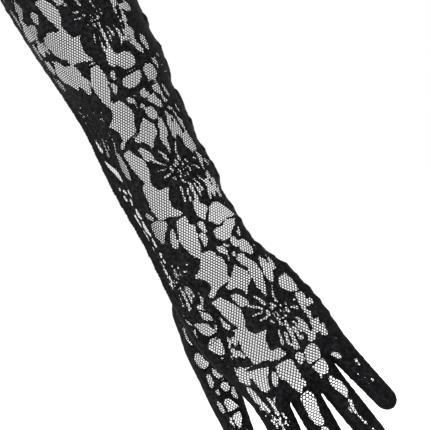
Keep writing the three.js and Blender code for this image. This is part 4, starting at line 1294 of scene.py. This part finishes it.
def outlineSeam():
    rows, kinds, edge = seamRows()
    middle = len(edge) // 2
    length = arcLengths(rows[:, middle])
    s, e = length[:, None], edge[None]
    normal = outward(rows)
    share = np.clip(1 - (np.abs(e) / seam["half"]) ** 4, 0, 1)
    rise = np.full(rows.shape[:2], seam["proud"]) * share - seam["tuck"] * (1 - share)
    for kind, (height, wave) in seam["puckers"].items():
        weight = np.convolve(kinds == kind, np.ones(seam["blend"]) / seam["blend"], "same")[:, None]
        rise += weight * height * share * np.maximum(ripple(s, e, wave, len(kind)), seam["deepest"])
    height, wave, seed = seam["fine"]
    rise += height * share * ripple(s, e, wave, seed)
    rise -= seam["ditch"] * np.exp(-(e / seam["ditchHalf"]) ** 2)
    points = rows + normal * rise[..., None]
    size = rise.shape
    numbers = np.arange(rise.size).reshape(size)
    faces = np.stack([numbers[:-1, :-1], numbers[:-1, 1:], numbers[1:, 1:], numbers[1:, :-1]], axis=-1)
    piece = makeObject("outline_seam", points.reshape(-1, 3), faces.reshape(-1, 4).tolist())
    thicken(piece, seam["wall"])
    gridMap(piece, *size)
    lay = np.stack([np.broadcast_to(e, size), np.broadcast_to(s, size), rise], axis=-1)
    store(piece, np.tile(lay.reshape(-1, 3), (2, 1)))
    shadeSmooth(piece)

    stitch = seam["stitch"]
    along = np.arange(stitch["from"], length[-1] - stitch["from"], stitch["every"])
    centre = resampled(along, length, points[:, middle])
    up = unit(resampled(along, length, normal[:, middle]))
    forward = unit(np.gradient(centre, axis=0))
    return piece, stitches("seam_stitches", centre + up * stitch["rise"], forward, up, stitch)


def stitches(name, points, forward, normal, size):
    # small bars of thread, each a closed low wedge with soft ends
    side = unit(np.cross(forward, normal))[:, None]
    shape = np.array([(-1, -1, 0), (-1, 1, 0), (1, 1, 0), (1, -1, 0), (-0.7, 0, 0.8), (0.7, 0, 0.8),
                      (-0.6, 0, -0.6), (0.6, 0, -0.6)])
    faces = [(0, 4, 5, 3), (1, 2, 5, 4), (0, 1, 4), (3, 5, 2), (0, 3, 7, 6), (1, 6, 7, 2), (0, 6, 1),
             (3, 2, 7)]
    x, y, z = (shape[:, k:k + 1] for k in range(3))
    bars = points[:, None] + side * x * size["length"] / 2 + forward[:, None] * y * size["wide"] / 2
    bars = bars + normal[:, None] * z * size["high"]
    starts = range(0, len(points) * len(shape), len(shape))
    faces = [[start + k for k in face] for start in starts for face in faces]
    piece = makeObject(name, bars.reshape(-1, 3), faces)
    faceOut(piece)
    shadeSmooth(piece)
    return piece


def loopWays(loop):
    # the way on at each point of a closed loop
    return unit(np.roll(loop, -1, axis=0) - np.roll(loop, 1, axis=0))


def closedPiece(name, grid):
    # a mesh of a grid of points that closes on itself both ways
    numbers = np.arange(grid[..., 0].size).reshape(grid.shape[:2])
    below, beside = np.roll(numbers, -1, axis=0), np.roll(numbers, -1, axis=1)
    faces = np.stack([numbers, beside, np.roll(below, -1, axis=1), below], axis=-1)
    piece = makeObject(name, grid.reshape(-1, 3), faces.reshape(-1, 4).tolist())
    faceOut(piece)
    shadeSmooth(piece)
    return piece


# The thumb's two side seams meet over its tip
sideSeam = {
    "columns": 64, "rows": 96, "tipRows": (0.25, 0.5, 0.7, 0.85, 0.95), "reach": 1.12, "closeFrom": 12.2,
    "closeOver": 1.2, "capFrom": 12.4, "proud": 0.25, "tuck": 0.35, "wall": 0.7,
    "pucker": 0.22, "puckerLength": 5, "puckerTurn": 8, "calmTip": 0.7, "seed": 4, "inHand": 1.0,
    "slack": 0.01,  # added to the reach, so that its last column is kept
}


def thumbSideSeam():
    columns, last = sideSeam["columns"], thumbShape["rows"] - 1
    rows = np.concatenate([np.linspace(0, last, sideSeam["rows"]), last + np.array(sideSeam["tipRows"])])
    angles = np.arange(columns) * 2 * np.pi / columns
    rings = thumbRings(thumbShare(rows), angles)
    looped = np.concatenate([rings[:, -1:], rings, rings[:, :1]], axis=1)
    middle = thumbMiddle(thumbShare(rows))
    normal = outward(looped)[:, 1:-1]
    normal = normal * np.sign(np.sum(normal * (rings - middle[:, None]), axis=-1, keepdims=True))
    turn = (angles + np.pi / 2) % np.pi - np.pi / 2
    reach = thumbShape["column"] * sideSeam["reach"]
    closing = smoothStep((rows - sideSeam["closeFrom"]) / sideSeam["closeOver"])[:, None]
    share = np.maximum(np.clip(1 - (np.abs(turn) / reach) ** 4, 0, 1)[None], closing)
    along, across = arcLengths(middle)[:, None], angles[None] * sideSeam["puckerTurn"]
    waves = ripple(along, across, sideSeam["puckerLength"], sideSeam["seed"])
    rise = sideSeam["proud"] * share - sideSeam["tuck"] * (1 - share)
    rise = rise + sideSeam["pucker"] * share * (1 - sideSeam["calmTip"] * closing) * waves
    points = rings + normal * rise[..., None]
    tip = thumbCentres[-1] + unit(middle[-1] - middle[-2]) * sideSeam["proud"]

    kept = np.abs(turn) < reach + sideSeam["slack"]
    numbers = np.arange(len(rows) * columns).reshape(len(rows), columns)
    beside = np.roll(numbers, -1, axis=1)
    faces = np.stack([numbers[:-1], beside[:-1], beside[1:], numbers[1:]], axis=-1)
    faces = faces[(kept & np.roll(kept, -1))[None] | (rows[:-1, None] >= sideSeam["capFrom"])].tolist()
    faces += [[a, b, numbers.size] for a, b in zip(numbers[-1], beside[-1])]
    used = np.zeros(numbers.size + 1, bool)
    used[np.concatenate(faces)] = True
    number = np.cumsum(used) - 1
    everything = np.vstack([points.reshape(-1, 3), tip])
    piece = makeObject("thumb_side_seam", everything[used], [number[face].tolist() for face in faces])
    faceOut(piece)
    thicken(piece, sideSeam["wall"])
    cutAway(piece, insideHand(places(piece)) > sideSeam["inHand"])
    shadeSmooth(piece)
    return piece


# A gathered roll covers the thumb's root
rootSeam = {
    "radius": 1.5, "flat": 0.75, "sides": 12, "step": 0.8,
    "pucker": 0.3, "puckerLength": 3.6, "twist": 1.3, "start": 5, "uneven": 0.12,
    "around": 72, "searchTo": 0.75, "searchSteps": 300, "evened": 3,  # how its line is found
}


def rootLoop():
    # where the thumb comes out of the palm
    angles = np.linspace(0, 2 * np.pi, rootSeam["around"] + 1)[:-1]
    t = np.linspace(0, rootSeam["searchTo"], rootSeam["searchSteps"] + 1)
    rings = thumbRings(t, angles)
    deep = insideHand(rings.reshape(-1, 3)).reshape(rings.shape[:2])
    loop = []
    for j in range(len(angles)):
        inside = np.nonzero(deep[:, j] > 0)[0]
        i = min(inside[-1] if len(inside) else 0, len(t) - 2)
        d0, d1 = deep[i, j], deep[i + 1, j]
        share = d0 / (d0 - d1) if d0 > 0 > d1 else 0
        loop.append(rings[i, j] + (rings[i + 1, j] - rings[i, j]) * share)
    loop = np.array(loop)
    for turn in range(rootSeam["evened"]):
        loop = (np.roll(loop, 1, axis=0) + 2 * loop + np.roll(loop, -1, axis=0)) / 4
    return loop


def thumbRootSeam():
    loop = rootLoop()
    closed = np.vstack([loop, loop[:1]])
    length = arcLengths(closed)
    total = length[-1]
    at = np.linspace(0, total, int(total / rootSeam["step"]) + 1)[:-1]
    centre = resampled(at, length, closed)
    forward = loopWays(centre)
    out = unit(centre - centre.mean(axis=0))
    out = unit(out - forward * np.sum(out * forward, axis=-1, keepdims=True))
    up = np.cross(forward, out)
    turns = np.arange(rootSeam["sides"])[None] * 2 * np.pi / rootSeam["sides"]
    wave = total / max(1, round(total / rootSeam["puckerLength"]))
    twist = rootSeam["twist"] * np.sin(turns + rootSeam["start"])
    wobble = 1 + rootSeam["pucker"] * np.sin(2 * np.pi * at[:, None] / wave + twist)
    wobble = wobble * (1 + rootSeam["uneven"] * np.sin(4 * np.pi * at[:, None] / total + turns))
    ring = out[:, None] * (np.cos(turns) * rootSeam["radius"])[..., None]
    ring = ring + up[:, None] * (np.sin(turns) * rootSeam["radius"] * rootSeam["flat"])[..., None]
    return closedPiece("thumb_root_seam", centre[:, None] + ring * wobble[..., None])


# The top hem: the edge is turned in and stitched
hem = {
    "wall": 1.5, "proud": 0.3, "columns": 180, "wavy": 8, "waveAt": 5,
    "waves": [(0.08, 31, 0), (0.064, 47, 1)],  # height, how many round the sleeve, and start
    "stitch": {"count": 84, "at": 8.2, "rise": -0.2, "length": 1.9, "wide": 0.5, "high": 0.3},
}


def sleeveRing(station, turns, rise):
    # points round the sleeve, from the left over the back, and the ways they face
    section = sectionAt(np.full(1, float(station)))
    back = sectionPoint(section, -1, turns[turns <= np.pi][None])[0]
    palm = sectionPoint(section, 1, (2 * np.pi - turns[turns > np.pi])[None])[0]
    ring = np.vstack([back, palm])
    normal = unit(np.cross(loopWays(ring), np.array([0, 0, 1.0])))
    normal = normal * np.sign(np.sum(normal * (ring - ring.mean(axis=0)), axis=-1, keepdims=True))
    return ring + normal * rise, normal


def topHem():
    turns = np.arange(hem["columns"]) * 2 * np.pi / hem["columns"]
    high, low = hem["proud"], hem["proud"] - hem["wall"]
    # station and height, down the outside and back up the inside
    profile = [(0.9, high), (2.5, high), (4.5, high - 0.05), (6.5, high), (7.6, high - 0.05),
               (8.2, high - 0.28), (8.8, high - 0.05), (9.4, high - 0.1), (9.8, high - 0.5), (9.8, low + 0.4),
               (9.2, low), (6, low), (3, low), (0.9, low), (0.4, low + 0.4), (0.2, (high + low) / 2),
               (0.4, high - 0.35)]
    rings = np.array([sleeveRing(station, turns, rise)[0] for station, rise in profile])
    wave = sum(height * np.sin(turns * count + start) for height, count, start in hem["waves"])
    rings[:hem["wavy"]] += sleeveRing(hem["waveAt"], turns, 0)[1] * wave[:, None]
    return closedPiece("top_hem", rings)


def hemStitches():
    stitch = hem["stitch"]
    turns = np.arange(stitch["count"]) * 2 * np.pi / stitch["count"]
    ring, normal = sleeveRing(stitch["at"], turns, hem["proud"] + stitch["rise"])
    down = np.broadcast_to(np.array([0, 0, -1.0]), ring.shape)
    return stitches("hem_stitches", ring, down, normal, stitch)


print("lace shapes ready")

# Materials

class Value:
    # a node's output that adds and multiplies as numbers do
    def __init__(self, finish, socket):
        self.finish, self.socket = finish, socket

    def maths(self, operation, one, two):
        return self.finish.node("ShaderNodeMath", {"operation": operation}, {0: one, 1: two})

    def __add__(self, other):
        return self.maths("ADD", self, other)

    def __sub__(self, other):
        return self.maths("SUBTRACT", self, other)

    def __rsub__(self, other):
        return self.maths("SUBTRACT", other, self)

    def __mul__(self, other):
        return self.maths("MULTIPLY", self, other)

    __radd__, __rmul__ = __add__, __mul__


class Finish:
    # a material for one kind of cloth or thread
    def __init__(self, name):
        self.material = bpy.data.materials.new(name)
        self.material.use_nodes = True
        self.tree = self.material.node_tree
        self.shader = self.tree.nodes["Principled BSDF"]
        self.spot = self.node("ShaderNodeTexCoord", output="Object")

    def node(self, kind, settings=None, values=None, output=0):
        made = self.tree.nodes.new(kind)
        for name, value in (settings or {}).items():
            if name == "stops":
                ramp = made.color_ramp.elements
                while len(ramp) < len(value):
                    ramp.new(0.5)
                for stop, (place, colour) in zip(ramp, value):
                    stop.position, stop.color = place, (*colours[colour], 1)
            else:
                setattr(made, name, value)
        for name, value in (values or {}).items():
            self.give(made.inputs[name], value)
        return Value(self, made.outputs[output])

    def give(self, socket, value):
        if isinstance(value, Value):
            self.tree.links.new(value.socket, socket)
        else:
            socket.default_value = value

    def noise(self, scale, detail=2.0):
        values = {"Vector": self.spot, "Scale": scale, "Detail": detail}
        return self.node("ShaderNodeTexNoise", values=values)

    def wave(self, where, direction, scale, distortion):
        settings = {"wave_type": "BANDS", "bands_direction": direction}
        values = {"Vector": where, "Scale": scale, "Distortion": distortion,
                  "Detail": 1.0, "Detail Scale": 1.5}
        return self.node("ShaderNodeTexWave", settings, values, output="Fac")

    def look(self, shade, stops, roughness, specular=None, sheen=None):
        given = {"Base Color": self.node("ShaderNodeValToRGB", {"stops": stops}, {"Fac": shade}),
                 "Roughness": roughness}
        if specular:
            given["Specular IOR Level"] = specular
        if sheen:
            given.update({"Sheen Weight": sheen, "Sheen Roughness": 0.4})
        for name, value in given.items():
            self.give(self.shader.inputs[name], value)

    def bump(self, height, strength, distance):
        values = {"Height": height, "Strength": strength, "Distance": distance}
        self.give(self.shader.inputs["Normal"], self.node("ShaderNodeBump", values=values))

    def on(self, piece, slot):
        piece.data.materials.clear()
        piece.data.materials.append(self.material)


# the yarn's tones run from deep to worn: deep is painted shade and worn a painted highlight, each partly
# random mottle too, and shiny is a painted highlight on a thread's twist. The floor's two are its own even
# pale tone
colours = {
    "deep": (0.0003, 0.0003, 0.0004), "yarn": (0.0011, 0.001, 0.0013), "worn": (0.0085, 0.008, 0.0092),
    "shiny": (0.016, 0.0155, 0.018), "floor": (0.8, 0.8, 0.795), "paleFloor": (0.82, 0.82, 0.815),
}


def clothFinish():
    # the closely knitted petals, leaves and stems: fine ribs down the cloth, a raised edge
    finish = Finish("woven_flowers")
    lay = finish.node("ShaderNodeAttribute", {"attribute_name": "lay"}, output="Vector")
    ribs, rows = finish.wave(lay, "X", 310, 0.6), finish.wave(lay, "Y", 420, 0.8)
    fuzz, patches, mottle = finish.noise(2600), finish.noise(90, 3), finish.noise(430, 4)
    inside = finish.node("ShaderNodeSeparateXYZ", values={"Vector": lay}, output="Z")
    rim = {"Value": inside, "From Min": 0.0001, "From Max": 0.0011, "To Min": 1.0, "To Max": 0.0}
    edge = finish.node("ShaderNodeMapRange", {"interpolation_type": "SMOOTHSTEP"}, rim)
    # the ribs and fuzz that the bump raises are painted lighter and their hollows darker, a painted highlight
    # and shade, over random mottle
    finish.look(ribs * 0.2 + mottle * 0.9 + fuzz * 0.15 + patches * 0.2 - 0.22,
                [(0.34, "deep"), (0.5, "yarn"), (0.68, "worn")],
                fuzz * 0.2 + patches * 0.15 + 0.5, specular=0.035, sheen=0.002)
    finish.bump(ribs * 0.5 + rows * 0.3 + fuzz * 0.35 + edge * 0.9, 0.7, 0.00025)
    return finish


def threadFinish():
    # the net's fine thread, a little shinier than the flowers
    finish = Finish("net_thread")
    fuzz, patches = finish.noise(1900), finish.noise(120)
    # the fuzz that the bump raises is painted lighter, a painted highlight, over random patches
    finish.look(fuzz * 0.6 + patches * 0.4, [(0.3, "deep"), (0.7, "worn")],
                fuzz * 0.3 + 0.42, specular=0.04, sheen=0.002)
    finish.bump(fuzz, 0.4, 0.0001)
    return finish


def seamFinish():
    # doubled lace, gathered along the stitching
    finish = Finish("gathered_seam")
    lumps, fuzz, patches = finish.noise(420, 4), finish.noise(2300), finish.noise(60, 3)
    # the lumps and fuzz that the bump raises are painted lighter and their hollows darker, a painted
    # highlight and shade in the gathers, over random patches
    finish.look(lumps * 0.5 + fuzz * 0.3 + patches * 0.3, [(0.3, "deep"), (0.55, "yarn"), (0.85, "worn")],
                fuzz * 0.25 + lumps * 0.25 + 0.32, specular=0.05, sheen=0.003)
    finish.bump(lumps * 0.7 + fuzz * 0.3, 0.9, 0.0006)
    return finish


def hemFinish():
    finish = Finish("turned_hem")
    ribs, lumps, fuzz = finish.wave(finish.spot, "Z", 240, 0.5), finish.noise(300, 3), finish.noise(2300)
    # the ribs, lumps and fuzz that the bump raises are painted lighter and their hollows darker, a painted
    # highlight and shade
    finish.look(ribs * 0.3 + lumps * 0.4 + fuzz * 0.3, [(0.25, "deep"), (0.6, "yarn"), (0.9, "worn")],
                fuzz * 0.25 + lumps * 0.2 + 0.35, specular=0.05, sheen=0.003)
    finish.bump(ribs * 0.5 + lumps * 0.4 + fuzz * 0.2, 0.8, 0.0004)
    return finish


def stitchFinish():
    finish = Finish("stitching")
    twist, fuzz = finish.wave(finish.spot, "DIAGONAL", 900, 1.0), finish.noise(2000)
    # the twist's raised bands are painted lighter, a painted highlight along the thread, with random fuzz
    finish.look(twist * 0.5 + fuzz * 0.5, [(0.2, "yarn"), (0.8, "shiny")], fuzz * 0.2 + 0.35, specular=0.15)
    finish.bump(twist * 0.7 + fuzz * 0.3, 0.5, 0.0001)
    return finish


def floorFinish():
    finish = Finish("pale_floor")
    grain = finish.noise(30)
    finish.look(grain, [(0.3, "floor"), (0.7, "paleFloor")], grain * 0.1 + 0.85)
    finish.give(finish.shader.inputs["Emission Color"], (1, 1, 1, 1))
    finish.give(finish.shader.inputs["Emission Strength"], 0.3)
    return finish


cloth, thread, gathered, turned, sewn = (clothFinish(), threadFinish(), seamFinish(), hemFinish(),
                                         stitchFinish())
print("materials ready")

# The pieces, each in its place
sheets = {name: drawSheet(name, panel) for name, panel in panels.items()}
print("lace drawn")
for name, panel in panels.items():
    sheet = sheets[name]
    piece, size, area = flowers(name, sheet)
    meshPiece = threads(name, sheet)
    dress(piece, sheet, name)
    dress(meshPiece, sheet, name)
    cloth.on(piece, "lace")
    thread.on(meshPiece, "lace")
    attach(piece, "root")
    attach(meshPiece, "root")
    nodes = [name + "_" + part for part in panel["nodes"]] if "nodes" in panel else [name]
    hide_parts(*nodes)
    print(name, "worn:", len(piece.data.polygons), "faces of flowers,", len(meshPiece.data.polygons),
          "of net, flat", size, "area", area, "share", area / size[0] / size[1])

seamPiece, seamBars = outlineSeam()
sidePiece, rootPiece, hemPiece, hemBars = thumbSideSeam(), thumbRootSeam(), topHem(), hemStitches()
sewnPieces = [
    (seamPiece, gathered, "seam"), (sidePiece, gathered, "seam"), (rootPiece, gathered, "seam"),
    (hemPiece, turned, "hem"), (seamBars, sewn, "seam"), (hemBars, sewn, "hem"),
]
for piece, finish, slot in sewnPieces:
    finish.on(piece, slot)
    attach(piece, "root")
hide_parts("seam_left", "seam_right", "seam_index", "seam_middle", "seam_ring", "seam_little")
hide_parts("thumb_side_seam")
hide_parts("thumb_root_seam")
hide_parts("top_hem")
print("seams and hem sewn")

# The stage: a pale floor just under the fingertips, soft light from all round
stage = {"floor": -0.437, "size": 12, "sides": 96, "world": 1.0, "middle": Vector((0.0177, 0, -0.2271))}
bpy.ops.object.select_all(action="DESELECT")
bpy.ops.mesh.primitive_circle_add(vertices=stage["sides"], radius=stage["size"], fill_type="NGON",
                                  location=(0, 0, stage["floor"]))
floor = bpy.context.object
floor.name = "floor"
floor.data.materials.append(floorFinish().material)

world = bpy.data.worlds.new("studio")
world.use_nodes = True
world.node_tree.nodes["Background"].inputs["Color"].default_value = (1, 1, 1, 1)
world.node_tree.nodes["Background"].inputs["Strength"].default_value = stage["world"]
bpy.context.scene.world = world
bpy.context.scene.view_settings.view_transform = "Standard"

lights = [
    # name, place, size, power, all aimed at the middle of the glove
    ("key", (-1.1, -1.5, 0.9), 0.7, 75),
    ("fill", (1.6, -1.2, 0.3), 1.4, 16),
    ("back", (0.3, 1.8, 0.8), 1.4, 18),
    ("top", (0, 0, 1.7), 1.6, 30),
]
for name, place, size, power in lights:
    lamp = bpy.data.lights.new(name, "AREA")
    lamp.size, lamp.energy = size, power
    holder = bpy.data.objects.new(name, lamp)
    holder.location = place
    holder.rotation_euler = (stage["middle"] - Vector(place)).to_track_quat("-Z", "Y").to_euler()
    bpy.context.collection.objects.link(holder)

# The camera looks at the glove's back, and is rolled as in the photo
view = {"distance": 3.0, "roll": math.radians(28), "width": 0.2795, "sensor": 36}
cameraData = bpy.data.cameras.new("camera")
cameraData.sensor_width = view["sensor"]
cameraData.lens = view["sensor"] * view["distance"] / view["width"]
camera = bpy.data.objects.new("camera", cameraData)
bpy.context.collection.objects.link(camera)
c, s = math.cos(view["roll"]), math.sin(view["roll"])
right, up, back = Vector((c, 0, -s)), Vector((s, 0, c)), Vector((0, -1, 0))
turn = Matrix((right, up, back)).transposed().to_4x4()
camera.matrix_world = Matrix.Translation(stage["middle"] + back * view["distance"]) @ turn
bpy.context.scene.camera = camera
print("stage set")
